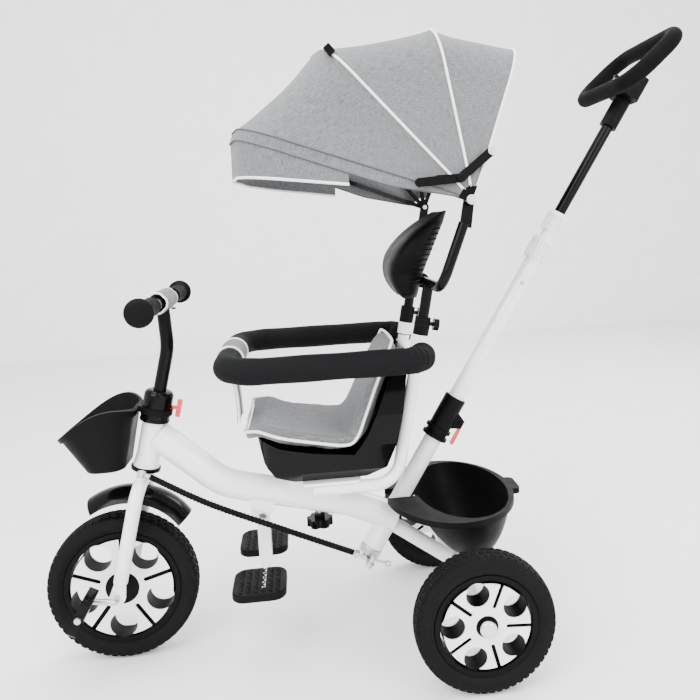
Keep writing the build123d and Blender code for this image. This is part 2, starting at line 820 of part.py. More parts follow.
# ================================================================ steering link
ring_s = arm_s + arm_thickness + 8 * gap
link_front = on_steer(arm_reach, ring_s + 3)
link_span = link_rear - link_front
link_dir = link_span.normalized()
link_radius = 3.0
sleeve_link_radius = 5.5
down = Vector(0, 0, -1)
link_route = [
    link_front + link_dir * 15,
    link_front + link_dir * 120 + down * 9,
    link_front + link_dir * 260 + down * 5,
    link_rear - link_dir * 36,
]

with BuildPart() as link_sleeve:
    add(bent_rod(link_route, [420, 900], sleeve_link_radius, link_radius))
link_sleeve.part.label = "link_sleeve"
export_step(link_sleeve.part, "parts/link_sleeve.step")

with BuildPart() as link_rod:
    add(bent_rod(link_route, [420, 900], link_radius))
    with BuildSketch(steer_plane(ring_s)):
        with Locations((arm_reach, 0)):
            Circle(6.5)
    extrude(amount=6)
    add(bent_rod([link_front + link_dir * 5, link_route[0]], 0, link_radius))
    with BuildSketch(steer_plane(ring_s - 2)):
        with Locations((arm_reach, 0)):
            Circle(2.5 + running)
    extrude(amount=12, mode=Mode.SUBTRACT)
    add(bent_rod([link_route[-1], link_rear - link_dir * 12], 0, link_radius))
    for back, size, length in ((34, 7.5, 8), (20, 6.5, 6)):
        with BuildSketch(Plane(origin=link_rear - link_dir * back, z_dir=link_dir)):
            RegularPolygon(size, 6)
        extrude(amount=length)
link_rod.part.label = "link_rod"
export_step(link_rod.part, "parts/link_rod.step")

# ================================================================ footrest
hinge_point = (245.0, 233.0)
foot_level = 140.0
foot_inner = 34.0
foot_outer = 128.0
foot_length = 88.0
foot_thickness = 15.0
foot_bar_radius = 7.0

with BuildPart() as footrest_frame:
    with BuildSketch(side):
        with Locations(hinge_point):
            Circle(12)
        with Locations(((hinge_point[0], (hinge_point[1] + foot_level) / 2))):
            Rectangle(22, hinge_point[1] - foot_level)
    extrude(amount=11, both=True)
    with BuildSketch(Plane(origin=at(-foot_outer + 20, hinge_point[0], foot_level), z_dir=(1, 0, 0))):
        Circle(foot_bar_radius)
    extrude(amount=2 * foot_outer - 40)
    hole(Plane(origin=at(0, *hinge_point), z_dir=(1, 0, 0)), 4 + running, 30)
footrest_frame.part.label = "footrest_frame"
export_step(footrest_frame.part, "parts/footrest_frame.step")

with BuildPart() as footrest_pads:
    for direction in (1, -1):
        middle = direction * (foot_inner + foot_outer) / 2
        with BuildSketch(ground.offset(foot_level - foot_thickness / 2)):
            with Locations((middle, hinge_point[0] - 7)):
                RectangleRounded(foot_outer - foot_inner, foot_length, 26)
        extrude(amount=foot_thickness)
    with BuildSketch(Plane(origin=at(-foot_outer + 20, hinge_point[0], foot_level), z_dir=(1, 0, 0))):
        Circle(foot_bar_radius)
    extrude(amount=2 * foot_outer - 40, mode=Mode.SUBTRACT)
footrest_pads.part.label = "footrest_pads"
export_step(footrest_pads.part, "parts/footrest_pads.step")

# ================================================================ seat
seat_bolt_y = 343.0
knob_top = 221.0
with BuildPart() as frame_bolts:
    add(turned(Plane(origin=at(-20, *hinge_point), z_dir=(1, 0, 0)), 4, 40))
    for start in (-24, 20):
        add(turned(Plane(origin=at(start, *hinge_point), z_dir=(1, 0, 0)), 7, 4, 0, 1.5))
    with BuildSketch(ground.offset(block_top + plate_thickness)):
        with Locations((0, seat_bolt_y)):
            Circle(4)
    extrude(amount=-(block_top + plate_thickness - 206))
frame_bolts.part.label = "frame_bolts"
export_step(frame_bolts.part, "parts/frame_bolts.step")

with BuildPart() as seat_knob:
    with BuildSketch(ground.offset(knob_top)):
        with Locations((0, seat_bolt_y)):
            Circle(9)
    extrude(amount=-10)
    with BuildSketch(ground.offset(knob_top - 8)):
        with Locations((0, seat_bolt_y)):
            Circle(23)
            with PolarLocations(27, 6):
                Circle(8, mode=Mode.SUBTRACT)
    extrude(amount=-14)
    with BuildSketch(ground.offset(knob_top)):
        with Locations((0, seat_bolt_y)):
            Circle(4 + running)
    extrude(amount=-30, mode=Mode.SUBTRACT)
seat_knob.part.label = "seat_knob"
export_step(seat_knob.part, "parts/seat_knob.step")

tube_level = block_top - post_radius
post_corner = (474.2, tube_level)
post_top = (529.2, 560.0)
post_lean = degrees(atan2(post_top[1] - post_corner[1], post_top[0] - post_corner[0]))
with BuildPart() as seat_tubes:
    with BuildSketch(ground.offset(block_top - 0.5)):
        with Locations((0, 366)):
            RectangleRounded(2 * post_x + 24, 96, 8)
        with Locations((0, (block_front + block_rear) / 2)):
            Rectangle(2 * block_half + gap, block_rear - block_front + gap, mode=Mode.SUBTRACT)
    extrude(amount=0.5)
    with BuildSketch(ground.offset(block_top)):
        with Locations((0, 366)):
            RectangleRounded(2 * post_x + 24, 96, 8)
        with Locations((0, seat_bolt_y)):
            Circle(4, mode=Mode.SUBTRACT)
    extrude(amount=plate_thickness)
    for x in (post_x, -post_x):
        add(bent_rod([at(x, 335, tube_level), at(x, *post_corner), at(x, *post_top)], 45,
                     post_radius, post_bore))
        ferrule = Plane(origin=along(x, post_top, post_lean, -42), z_dir=side.from_local_coords(
            Vector(cos(radians(post_lean)), sin(radians(post_lean)), 0)) - side.origin)
        add(turned(ferrule, post_radius + 2.5, 22, post_bore))
seat_tubes.part.label = "seat_frame"
export_step(seat_tubes.part, "parts/seat_frame.step")

floor_level = block_top + plate_thickness
rim_line = [(250, 391), (285, 377), (340, 364), (404, 356), (428, 390), (452, 440), (478, 492), (494, 520)]
shell_back = [(504, 514), (490, 440), (476, 380), (458, 328), (425, floor_level)]
shell_front = [(305, floor_level), (276, 322), (259, 352)]
cavity = [(262, 400), (266, 356), (281, 330), (308, floor_level + 4.2), (422, floor_level + 4.2),
          (452, 332), (470, 383), (484, 441), (497, 508), (499, 540), (400, 540)]


def seat_outline(half, top_half, grow=0.0):
    """Front view of the seat, narrower and rounded at the top of the back."""
    with BuildPart() as outline:
        with BuildSketch(Plane(origin=(0, front_axle_y + 200, 0), x_dir=(1, 0, 0), z_dir=(0, -1, 0))):
            with BuildLine():
                Polyline((half - 62, 290), (half - 22, 326), (half, 372), (half, 420), (top_half, 500))
                RadiusArc((top_half, 500), (top_half - 28, 528), -28)
                Line((top_half - 28, 528), (-top_half + 28, 528))
                RadiusArc((-top_half + 28, 528), (-top_half, 500), -28)
                Polyline((-top_half, 500), (-half, 420), (-half, 372), (22 - half, 326), (62 - half, 290))
                Line((62 - half, 290), (half - 62, 290))
            make_face()
        extrude(amount=-400)
        with BuildSketch(ground.offset(250)):
            with Locations((0, 400)):
                RectangleRounded(2 * half, 306, 52)
        extrude(amount=300, mode=Mode.INTERSECT)
    return outline.part


with BuildPart() as seat_shell:
    with BuildSketch(side):
        with BuildLine():
            Polyline(*rim_line, *shell_back, *shell_front, close=True)
        make_face()
    extrude(amount=shell_half, both=True)
    fillet(seat_shell.edges().filter_by(Axis.X).group_by(Axis.Z)[0], 16)
    add(seat_outline(shell_half, 84), mode=Mode.INTERSECT)
    with BuildPart(mode=Mode.PRIVATE) as hollow_seat:
        with BuildSketch(side):
            with BuildLine():
                Polyline(*cavity, close=True)
            make_face()
        extrude(amount=shell_half, both=True)
        add(seat_outline(shell_half - shell_wall, 84 - shell_wall), mode=Mode.INTERSECT)
    add(hollow_seat.part, mode=Mode.SUBTRACT)
seat_shell.part.label = "seat_shell"
export_step(seat_shell.part, "parts/seat_shell.step")

pad_under = [(226, 385), (250, 391.6), (285, 377.6), (340, 364.6), (404, 356.6), (427.4, 390.4),
             (451.4, 440.4), (477.4, 492.4), (493, 521)]
pad_over = [(487, 536), (471, 531), (441, 480), (416, 430), (400, 384), (392, 378), (342, 384),
            (288, 395), (252, 409), (226, 403)]
with BuildPart() as seat_pad:
    with BuildSketch(side):
        with BuildLine():
            Polyline(*pad_under, *pad_over, close=True)
        make_face()
    extrude(amount=shell_half + 2, both=True)
    with BuildSketch(Plane(origin=(0, front_axle_y + 200, 0), x_dir=(1, 0, 0), z_dir=(0, -1, 0))):
        with BuildLine():
            Polyline((120, 300), (120, 420), (78, 505))
            RadiusArc((78, 505), (46, 534), -32)
            Line((46, 534), (-46, 534))
            RadiusArc((-46, 534), (-78, 505), -32)
            Polyline((-78, 505), (-120, 420), (-120, 300))
            Line((-120, 300), (120, 300))
        make_face()
    extrude(amount=-400, mode=Mode.INTERSECT)
seat_pad.part.label = "seat_pad"
export_step(seat_pad.part, "parts/seat_pad.step")

with BuildPart() as guard_bar:
    guard_points = [
        at(post_x + post_radius + 3, guard_rear, guard_height), at(guard_half, guard_rear, guard_height),
        at(guard_half, guard_front, guard_height), at(-guard_half, guard_front, guard_height),
        at(-guard_half, guard_rear, guard_height),
        at(-post_x - post_radius - 3, guard_rear, guard_height),
    ]
    add(bent_rod(guard_points, [30, 62, 62, 30], guard_radius))
guard_bar.part.label = "guard_bar"
export_step(guard_bar.part, "parts/guard_bar.step")

band_half = 46.0
with BuildPart() as guard_band:
    band_plane = Plane(origin=at(-band_half, guard_front, guard_height), z_dir=(1, 0, 0))
    add(turned(band_plane, guard_radius + 3, 2 * band_half, guard_radius + gap))
    with BuildSketch(side):
        with BuildLine():
            Polyline((208, 494), (214, 494), (222, 405), (219, 401), (215, 405), close=True)
        make_face()
    extrude(amount=34, both=True)
    with BuildSketch(band_plane):
        Circle(guard_radius + gap)
    extrude(amount=2 * band_half, mode=Mode.SUBTRACT)
guard_band.part.label = "guard_band"
export_step(guard_band.part, "parts/guard_band.step")

# ================================================================ rear basket
bowl_wall = 2.8
bowl_rim = 244.0
bowl_floor = 152.0


def bowl(grow, floor):
    with BuildPart() as body:
        with BuildSketch(ground.offset(floor)):
            with Locations((0, 606)):
                Ellipse(84 + grow, 44 + grow)
        with BuildSketch(ground.offset((bowl_floor + bowl_rim) / 2)):
            with Locations((0, 600)):
                Ellipse(126 + grow, 72 + grow)
        with BuildSketch(ground.offset(bowl_rim)):
            with Locations((0, 598)):
                Ellipse(140 + grow, 84 + grow)
        loft()
    return body.part


with BuildPart() as rear_basket:
    add(bowl(0, bowl_floor))
    with BuildSketch(ground.offset(bowl_rim - 10)):
        with Locations((0, 576)):
            Ellipse(152, 114)
        with Locations((0, 690)):
            RectangleRounded(58, 26, 10)
    extrude(amount=10)
    add(bowl(-bowl_wall, bowl_floor + bowl_wall), mode=Mode.SUBTRACT)
    with BuildSketch(ground.offset(bowl_rim - 12)):
        with Locations((0, 598)):
            Ellipse(130, 78)
        with Locations((0, 468)):
            Rectangle(2 * housing_radius + 12, 96)
        with Locations((0, 512)):
            Circle(housing_radius + 6)
    extrude(amount=20, mode=Mode.SUBTRACT)
    hole(pole_plane(0), housing_radius + 3, 120)
rear_basket.part.label = "rear_basket"
export_step(rear_basket.part, "parts/rear_basket.step")

# ================================================================ canopy carrier


def post_plane(distance, x=0.0):
    return axis_plane(post_top, post_lean, distance, x)


with BuildPart() as post_collars:
    for x in (post_x, -post_x):
        with BuildSketch(post_plane(-20, x)):
            Circle(13)
        extrude(amount=30)
        with BuildSketch(post_plane(-20, x)):
            Circle(post_radius)
        extrude(amount=20, mode=Mode.SUBTRACT)
        with BuildSketch(post_plane(-20, x)):
            Circle(post_bore)
        extrude(amount=30, mode=Mode.SUBTRACT)
post_collars.part.label = "post_collars"
export_step(post_collars.part, "parts/post_collars.step")

rear_dir = (0, sin(radians(post_lean)), -cos(radians(post_lean)))
for name, x in (("left", post_x), ("right", -post_x)):
    with BuildPart() as knob:
        knob_plane = Plane(origin=along(x, post_top, post_lean, 0, -13.3), z_dir=rear_dir)
        add(turned(knob_plane, 3.5, 6))
        with BuildSketch(knob_plane.offset(5)):
            Circle(10)
            with PolarLocations(12, 5):
                Circle(3.5, mode=Mode.SUBTRACT)
        extrude(amount=9)
    knob.part.label = f"collar_knob_{name}"
    export_step(knob.part, f"parts/collar_knob_{name}.step")

layers = {"rear": 190.4, "second": 193.5, "first": 196.6, "front": 199.7}


stay_x = canopy_half + 1.0
front_rivet = (pivot[0] - 78.0, pivot[1] + 27.0)
middle_rivet = (pivot[0] - 17.0, pivot[1] + 31.0)
rear_rivet = (pivot[0] + 30.5, pivot[1] + 68.0)
stay_width = 13.0
stay_thickness = 3.0


def stay(points, x):
    """Flat stay with round ends, on both sides of the canopy."""
    for start in (x, -x - stay_thickness):
        with BuildSketch(side.offset(start)) as flat:
            for a, b in zip(points, points[1:]):
                middle = ((a[0] + b[0]) / 2, (a[1] + b[1]) / 2)
                length = Vector(b[0] - a[0], b[1] - a[1]).length
                with Locations(Location((middle[0], middle[1], 0),
                                        (0, 0, degrees(atan2(b[1] - a[1], b[0] - a[0]))))):
                    SlotCenterToCenter(length, stay_width)
        extrude(flat.sketch, amount=stay_thickness)


def rivets(point, start, length, radius, head, mode=Mode.ADD):
    for direction in (1, -1):
        plane = Plane(origin=at(direction * start, *point), z_dir=(direction, 0, 0))
        add(turned(plane, radius, length), mode=mode)
        if head:
            add(turned(plane.offset(length), head, 3, 0, 1.2))


def bow_plane(angle):
    """Plane of a bow: x across the tricycle and y away from the pivot."""
    a = radians(angle)
    return Plane(origin=at(0, *pivot), x_dir=(1, 0, 0), z_dir=(0, -sin(a), cos(a)))


def arch(half, reach, foot):
    """Closed outline of a bow or of the fabric over it, in its bow plane."""
    with BuildLine(mode=Mode.PRIVATE) as line:
        FilletPolyline(
            (-half, foot),
            (-half, leg_foot),
            (-half + splay, reach - 22),
            (0, reach + 6),
            (half - splay, reach - 22),
            (half, leg_foot),
            (half, foot),
            radius=roof_corner,
        )
        Line((half, foot), (-half, foot))
    return line.line


def build_bow(bow, layer, bore):
    """Flat steel bow, pivoted at its two feet."""
    angle, reach = bow
    inner = layers[layer] - bow_strip / 2
    with BuildPart() as strip:
        with BuildSketch(bow_plane(angle)):
            make_face(arch(inner + bow_strip, reach - fabric - bow_sink, 0).edges())
            make_face(arch(inner, reach - fabric - bow_sink - bow_strip, -1).edges(), mode=Mode.SUBTRACT)
        extrude(amount=bow_depth / 2, both=True)
        for x in (inner, -inner - bow_strip):
            with BuildSketch(Plane(origin=at(x, *pivot), z_dir=(1, 0, 0))):
                Circle(8)
            extrude(amount=bow_strip)
        hole(Plane(origin=at(0, *pivot), z_dir=(1, 0, 0)), bore, 230)
    return strip.part


carrier_radius = 8.0
tip_x = 187.0
with BuildPart() as canopy_yoke:
    reach = 66.0
    for x in (post_x, -post_x):
        with BuildSketch(post_plane(-110, x)):
            Circle(post_bore - running)
        extrude(amount=110 + reach)
    bar_point = along(0, post_top, post_lean, reach)
    yoke = [
        at(tip_x, pivot[0] - 9, pivot[1] - 34),
        Vector(tip_x, bar_point.Y, bar_point.Z),
        Vector(-tip_x, bar_point.Y, bar_point.Z),
        at(-tip_x, pivot[0] - 9, pivot[1] - 34),
    ]
    add(bent_rod(yoke, 28, carrier_radius))
    for direction in (1, -1):
        x0 = direction * tip_x - 1.5
        with BuildSketch(Plane(origin=at(x0, *pivot), x_dir=(0, 1, 0), z_dir=(1, 0, 0))):
            Circle(9)
            with BuildLine():
                Polyline((-8, 2), (8, 0), (2, -42), (-16, -38), close=True)
            make_face()
        extrude(amount=3)
    hole(Plane(origin=at(0, *pivot), z_dir=(1, 0, 0)), bow_pin, 230)
    add(build_bow(rear_bow, "rear", bow_pin))
canopy_yoke.part.label = "canopy_yoke"
export_step(canopy_yoke.part, "parts/canopy_yoke.step")

for name, bow, bore in (
    ("second", second_bow, bow_pin + running),
    ("first", first_bow, bow_pin + running),
    ("front", front_bow, bow_pin + running),
):
    with BuildPart() as strip:
        add(build_bow(bow, name, bore))
        if name == "front":
            foot = layers["front"] - 7.5
            rivets(front_rivet, foot, stay_x + 2 * stay_thickness + gap + 0.3 - foot, 3, 6.5)
    strip.part.label = f"{name}_bow"
    export_step(strip.part, f"parts/{name}_bow.step")

with BuildPart() as canopy_rivets:
    outer = layers["front"] + bow_strip / 2 + gap
    for direction in (1, -1):
        start = Plane(origin=at(direction * (tip_x - 6), *pivot), z_dir=(direction, 0, 0))
        add(turned(start, bow_pin, outer + 1 - tip_x + 6))
        head = Plane(origin=at(direction * outer, *pivot), z_dir=(direction, 0, 0))
        add(turned(head, 7.5, 4, 0, 1.6))
    foot = layers["rear"] - 6.8
    rivets(rear_rivet, foot, stay_x + stay_thickness + 0.3 - foot, 3, 6.5)
canopy_rivets.part.label = "canopy_rivets"
export_step(canopy_rivets.part, "parts/canopy_rivets.step")


def build_gore(low, high, low_gap, high_gap):
    """Fabric stretched from one bow to the next."""
    with BuildPart() as gore:
        for (angle, reach), turn in ((low, low_gap), (high, -high_gap)):
            with BuildSketch(bow_plane(angle + turn)):
                make_face(arch(canopy_half, reach, 22).edges())
                make_face(arch(canopy_half - fabric, reach - fabric, 20).edges(), mode=Mode.SUBTRACT)
        loft(ruled=True)
    return gore.part


seam = 0.25
for name, low, high, first, last in (
    ("rear", rear_bow, second_bow, 2.2, seam),
    ("middle", second_bow, first_bow, seam, seam),
    ("front", first_bow, front_bow, seam, 1.0),
):
    with BuildPart() as gore:
        add(build_gore(low, high, first, last))
    gore.part.label = f"canopy_{name}_panel"
    export_step(gore.part, f"parts/canopy_{name}_panel.step")

with BuildPart() as canopy_visor:
    with BuildSketch(bow_plane(front_bow[0])):
        make_face(arch(canopy_half, front_bow[1], 22).edges())
        make_face(arch(canopy_half - fabric, front_bow[1] - fabric, 20).edges(), mode=Mode.SUBTRACT)
    extrude(amount=130, dir=(0, 0, -1))
    with BuildSketch(side):
        with BuildLine():
            Polyline((200, 1000), (410, 1000), (410, 785), (200, 812), close=True)
        make_face()
    extrude(amount=250, both=True, mode=Mode.INTERSECT)
canopy_visor.part.label = "canopy_visor"
export_step(canopy_visor.part, "parts/canopy_visor.step")

# folding stays outside of the fabric
with BuildPart() as rear_stays:
    stay([(middle_rivet[0] - 33, middle_rivet[1] - 1), middle_rivet, rear_rivet], stay_x)
    rivets(rear_rivet, stay_x - 1, 6, 3 + running, 0, Mode.SUBTRACT)
rear_stays.part.label = "rear_stays"
export_step(rear_stays.part, "parts/rear_stays.step")

with BuildPart() as front_stays:
    stay([front_rivet, middle_rivet], stay_x + stay_thickness + gap)
    rivets(front_rivet, stay_x, 9, 3 + running, 0, Mode.SUBTRACT)
    rivets(middle_rivet, stay_x + 2 * stay_thickness + gap, 0.5, 3, 6.5)
front_stays.part.label = "front_stays"
export_step(front_stays.part, "parts/front_stays.step")


# ---------------------------------------------------------------- headrest
headrest_rear = [(590, 737), (553, 676), (533, 597)]
headrest_front = [(526, 600), (499, 609), (482, 652), (496, 700), (536, 737), (583, 741)]
headrest_shape = [(46, 594), (62, 606), (64, 640), (86, 672), (84, 718), (52, 750)]


def trim_headrest():
    """Keep the part being built inside of the headrest's front view, and clear of the bar."""
    with BuildSketch(Plane(origin=at(0, 400, 0), x_dir=(1, 0, 0), z_dir=(0, -1, 0))) as view:
        with BuildLine():
            half = [Vector(*p) for p in headrest_shape]
            other = [Vector(-p.X, p.Y) for p in reversed(half)]
            Polyline(*half, *other, close=True)
        make_face()
        fillet(view.vertices(), 9)
    extrude(view.sketch, amount=-300, mode=Mode.INTERSECT)


bar_plane = Plane(origin=(0, bar_point.Y, bar_point.Z), z_dir=(1, 0, 0))
clamp_half = 24.0

with BuildPart() as headrest:
    with BuildSketch(side):
        with BuildLine():
            Spline(*headrest_front)
            Line(headrest_front[-1], headrest_rear[0])
            ThreePointArc(*headrest_rear)
            Line(headrest_rear[-1], headrest_front[0])
        make_face()
    extrude(amount=90, both=True)
    trim_headrest()
    add(turned(bar_plane.offset(-clamp_half), carrier_radius + 5, 2 * clamp_half))
    hole(bar_plane, carrier_radius + running, 100)
headrest.part.label = "headrest"
export_step(headrest.part, "parts/headrest.step")
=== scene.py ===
import bmesh
import bpy
import json
from bisect import bisect
from math import atan2, cos, hypot, pi, radians, sin, tan
from mathutils import Matrix, Vector


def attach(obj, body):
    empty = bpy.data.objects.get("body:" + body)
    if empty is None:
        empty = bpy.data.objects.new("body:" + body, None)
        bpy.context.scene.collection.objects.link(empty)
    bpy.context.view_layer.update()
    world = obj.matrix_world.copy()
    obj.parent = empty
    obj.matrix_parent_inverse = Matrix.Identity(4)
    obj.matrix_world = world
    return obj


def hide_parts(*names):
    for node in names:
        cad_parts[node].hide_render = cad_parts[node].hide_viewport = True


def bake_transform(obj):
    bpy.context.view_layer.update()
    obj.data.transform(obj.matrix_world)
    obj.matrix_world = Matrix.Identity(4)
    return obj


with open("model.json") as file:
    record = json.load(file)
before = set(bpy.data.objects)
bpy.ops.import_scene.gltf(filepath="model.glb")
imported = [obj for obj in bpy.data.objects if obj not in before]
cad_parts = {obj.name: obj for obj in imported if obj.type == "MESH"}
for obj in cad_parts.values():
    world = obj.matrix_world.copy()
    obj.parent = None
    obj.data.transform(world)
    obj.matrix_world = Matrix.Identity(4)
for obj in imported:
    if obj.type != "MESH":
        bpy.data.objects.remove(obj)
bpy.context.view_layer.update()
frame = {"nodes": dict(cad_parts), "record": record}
print("frame loaded")

# The tricycle's front faces -Y. Points below are millimetres: across, behind the front axle, height.
frontAxleY = -427


def at(x, y, z):
    return Vector((x, y + frontAxleY, z)) / 1000


def onLine(point, angle, distance, across=0, x=0):
    a = radians(angle)
    return at(x, point[0] + distance * cos(a) - across * sin(a),
              point[1] + distance * sin(a) + across * cos(a))


frontHub = (0, 127)
rearHub = (584, 110.5)
steerAngle = 75.8
poleFoot = (488, 236)
poleAngle = 57.9
pivot = (589, 754)


# ---- materials
class Wire:
    """A shader socket that does arithmetic."""

    def __init__(self, paint, socket):
        self.paint = paint
        self.socket = socket

    def __add__(self, other):
        return self.paint.maths("ADD", self, other)

    def __sub__(self, other):
        return self.paint.maths("SUBTRACT", self, other)

    def __rsub__(self, other):
        return self.paint.maths("SUBTRACT", other, self)

    def __mul__(self, other):
        return self.paint.maths("MULTIPLY", self, other)

    def __pow__(self, other):
        return self.paint.maths("POWER", self, other)

    def __gt__(self, other):
        return self.paint.maths("GREATER_THAN", self, other)

    def abs(self):
        return self.paint.maths("ABSOLUTE", self)

    def sine(self):
        return self.paint.maths("SINE", self)

    def top(self, other):
        return self.paint.maths("MAXIMUM", self, other)

class Paint:
    """One procedural material."""

    def __init__(self, name, roughness=0.5, metallic=0, coat=0):
        self.material = bpy.data.materials.new(name)
        self.material.use_nodes = True
        self.tree = self.material.node_tree
        self.tree.nodes.clear()
        self.surface = self.tree.nodes.new("ShaderNodeBsdfPrincipled")
        output = self.tree.nodes.new("ShaderNodeOutputMaterial")
        self.tree.links.new(self.surface.outputs[0], output.inputs[0])
        self.put("Roughness", roughness)
        self.put("Metallic", metallic)
        self.put("Coat Weight", coat)

    def feed(self, socket, value):
        if isinstance(value, Wire):
            self.tree.links.new(value.socket, socket)
        elif hasattr(value, "__len__") and len(value) == 3 and socket.type == "RGBA":
            socket.default_value = (*value, 1)
        else:
            socket.default_value = value

    def node(self, kind, output=0, values=None, **settings):
        made = self.tree.nodes.new("ShaderNode" + kind)
        for key, value in settings.items():
            setattr(made, key, value)
        for key, value in (values or {}).items():
            self.feed(made.inputs[key], value)
        return Wire(self, made.outputs[output])

    def maths(self, operation, a, b=0.0):
        return self.node("Math", values={0: a, 1: b}, operation=operation)

    def put(self, name, value):
        self.feed(self.surface.inputs[name], value)

    def place(self, stretch=(1, 1, 1), uv=False):
        source = self.node("TexCoord", output=2 if uv else 3)
        return self.node("Mapping", values={"Vector": source, "Scale": stretch})

    def noise(self, scale, detail=3, stretch=(1, 1, 1), uv=False):
        where = self.place(stretch, uv)
        return self.node("TexNoise", values={"Vector": where, "Scale": scale, "Detail": detail})

    def mix(self, share, a, b):
        return self.node("Mix", output=2, values={0: share, 6: a, 7: b}, data_type="RGBA")

    def ramp(self, value, low, high, a=0.0, b=1.0):
        return self.node("MapRange", values={0: value, 1: low, 2: high, 3: a, 4: b})

    def bump(self, height, strength, distance):
        self.put("Normal",
                 self.node("Bump", values={"Height": height, "Strength": strength, "Distance": distance}))


def solidPaint(name, colour, roughness, wear=0.05, coat=0, metallic=0, grain=0, grainSize=900):
    """Paint, plastic or metal with a faintly uneven colour and gloss, and a fine grain."""
    paint = Paint(name, roughness, metallic, coat)
    cloud = paint.noise(9, 4)
    dark = tuple(c * 0.9 for c in colour)
    paint.put("Base Color", paint.mix(cloud, dark, colour))
    smear = paint.noise(38, 5)
    paint.put("Roughness", paint.ramp(smear, 0.3, 0.7, roughness - wear, roughness + wear))
    if grain:
        paint.bump(paint.noise(grainSize, 2), grain, 0.0004)
    if max(colour) < 0.03:
        paint.put("Specular IOR Level", 0.06)
    return paint.material


def heatherPaint(name, slub=(1, 1, 1)):
    """Woven grey heather cloth, from UVs in metres."""
    paint = Paint(name, 0.92)
    warp = paint.noise(1, 3, (2300 * slub[0], 60 * slub[1], 1), uv=True)
    weft = paint.noise(1, 3, (60 * slub[1], 2100 * slub[0], 1), uv=True)
    fleck = paint.noise(620, 2, uv=True)
    light = paint.mix(paint.ramp(warp, 0.36, 0.66), (0.02, 0.021, 0.023), (0.155, 0.162, 0.169))
    cloth = paint.mix(paint.ramp(weft, 0.4, 0.72, 0, 0.6), light, (0.25, 0.257, 0.264))
    paint.put("Base Color", paint.mix(paint.ramp(fleck, 0.5, 0.72, 0, 0.4), cloth, (0.02, 0.021, 0.023)))
    paint.put("Sheen Weight", 0.1)
    thread = paint.node("SeparateXYZ", values={0: paint.place((1, 1, 1), uv=True)})
    across = Wire(paint, thread.socket.node.outputs[0])
    along = Wire(paint, thread.socket.node.outputs[1])
    weave = (across * 5600).sine() * (along * 5600).sine()
    paint.bump(weave + warp * 2, 0.35, 0.0004)
    return paint.material


def netPaint(name):
    """Black spacer mesh with rows of diamond holes, their insides painted darker as shade, from UVs in metres.
    """
    paint = Paint(name, 0.75)
    paint.put("Specular IOR Level", 0.08)
    parts = paint.node("SeparateXYZ", values={0: paint.place((1, 1, 1), uv=True)})
    u = Wire(paint, parts.socket.node.outputs[0])
    v = Wire(paint, parts.socket.node.outputs[1])
    pitch = 2 * pi / 0.0075
    cell = (u * pitch + v * pitch).sine() * (u * pitch - v * pitch).sine()
    hole = paint.ramp(cell.abs(), 0.25, 0.6)
    fibre = paint.noise(1500, 2, uv=True)
    thread = paint.mix(fibre, (0.0025, 0.0026, 0.003), (0.01, 0.0105, 0.0115))
    # painted shade: the holes are coloured darker than the thread for the shade inside them
    paint.put("Base Color", paint.mix(hole, thread, (0.0008, 0.0008, 0.001)))
    paint.bump(1 - hole + fibre * 0.2, 0.6, 0.0011)
    return paint.material


def brushedPaint(name, colour, roughness, stretch):
    paint = Paint(name, roughness, 1)
    lines = paint.noise(1, 3, stretch)
    paint.put("Base Color", paint.mix(paint.noise(30, 3), tuple(c * 0.82 for c in colour), colour))
    paint.put("Roughness", paint.ramp(lines, 0.3, 0.7, roughness - 0.07, roughness + 0.09))
    return paint.material


paints = {
    "white_paint": solidPaint("whitePaint", (0.86, 0.865, 0.87), 0.2, 0.04, coat=0.5, grain=0.02,
                              grainSize=400),
    "black_paint": solidPaint("blackPaint", (0.002, 0.002, 0.0022), 0.22, 0.05, coat=0.06, grain=0.02,
                              grainSize=400),
    "zinc": brushedPaint("zinc", (0.62, 0.62, 0.61), 0.34, (700, 90, 700)),
    "chrome": brushedPaint("chrome", (0.8, 0.8, 0.82), 0.13, (300, 60, 60)),
    "tyre": solidPaint("tyreRubber", (0.004, 0.004, 0.0044), 0.62, 0.07, grain=0.15, grainSize=1400),
    "black_matt": solidPaint("blackMatt", (0.0025, 0.0025, 0.0028), 0.5, 0.06, grain=0.25, grainSize=2200),
    "black_gloss": solidPaint("blackGloss", (0.002, 0.002, 0.0022), 0.16, 0.04, coat=0.06),
    "white_plastic": solidPaint("whitePlastic", (0.84, 0.845, 0.85), 0.3, 0.05, grain=0.03, grainSize=900),
    "red_plastic": solidPaint("redPlastic", (0.6, 0.012, 0.016), 0.27, 0.05, coat=0.2),
    "foam": solidPaint("foam", (0.003, 0.003, 0.0032), 0.86, 0.05, grain=0.6, grainSize=3000),
    "grey_fabric": heatherPaint("heather"),
    "black_fabric": netPaint("net"),
}
piping = solidPaint("piping", (0.8, 0.8, 0.79), 0.8, 0.05, grain=0.5, grainSize=2600)
darkThread = solidPaint("darkThread", (0.05, 0.052, 0.056), 0.85, 0.05, grain=0.5, grainSize=2600)
# painted shade for the gaps where plates and tubes meet
seamShadePaint = solidPaint("seamShadePaint", (0.006, 0.006, 0.0065), 0.45, 0.05)

for entry in frame["record"]["subparts"]:
    shown = frame["nodes"][entry["node"]]
    shown.data.materials.clear()
    shown.data.materials.append(paints[entry["material_slot"]])
print("materials ready")


# ---- builders
def finished(name, bm, paint, body=None, smooth=True):
    mesh = bpy.data.meshes.new(name)
    bm.to_mesh(mesh)
    bm.free()
    if smooth:
        mesh.shade_smooth()
    piece = bpy.data.objects.new(name, mesh)
    bpy.context.scene.collection.objects.link(piece)
    mesh.materials.append(paint)
    if body:
        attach(piece, body)
    return piece


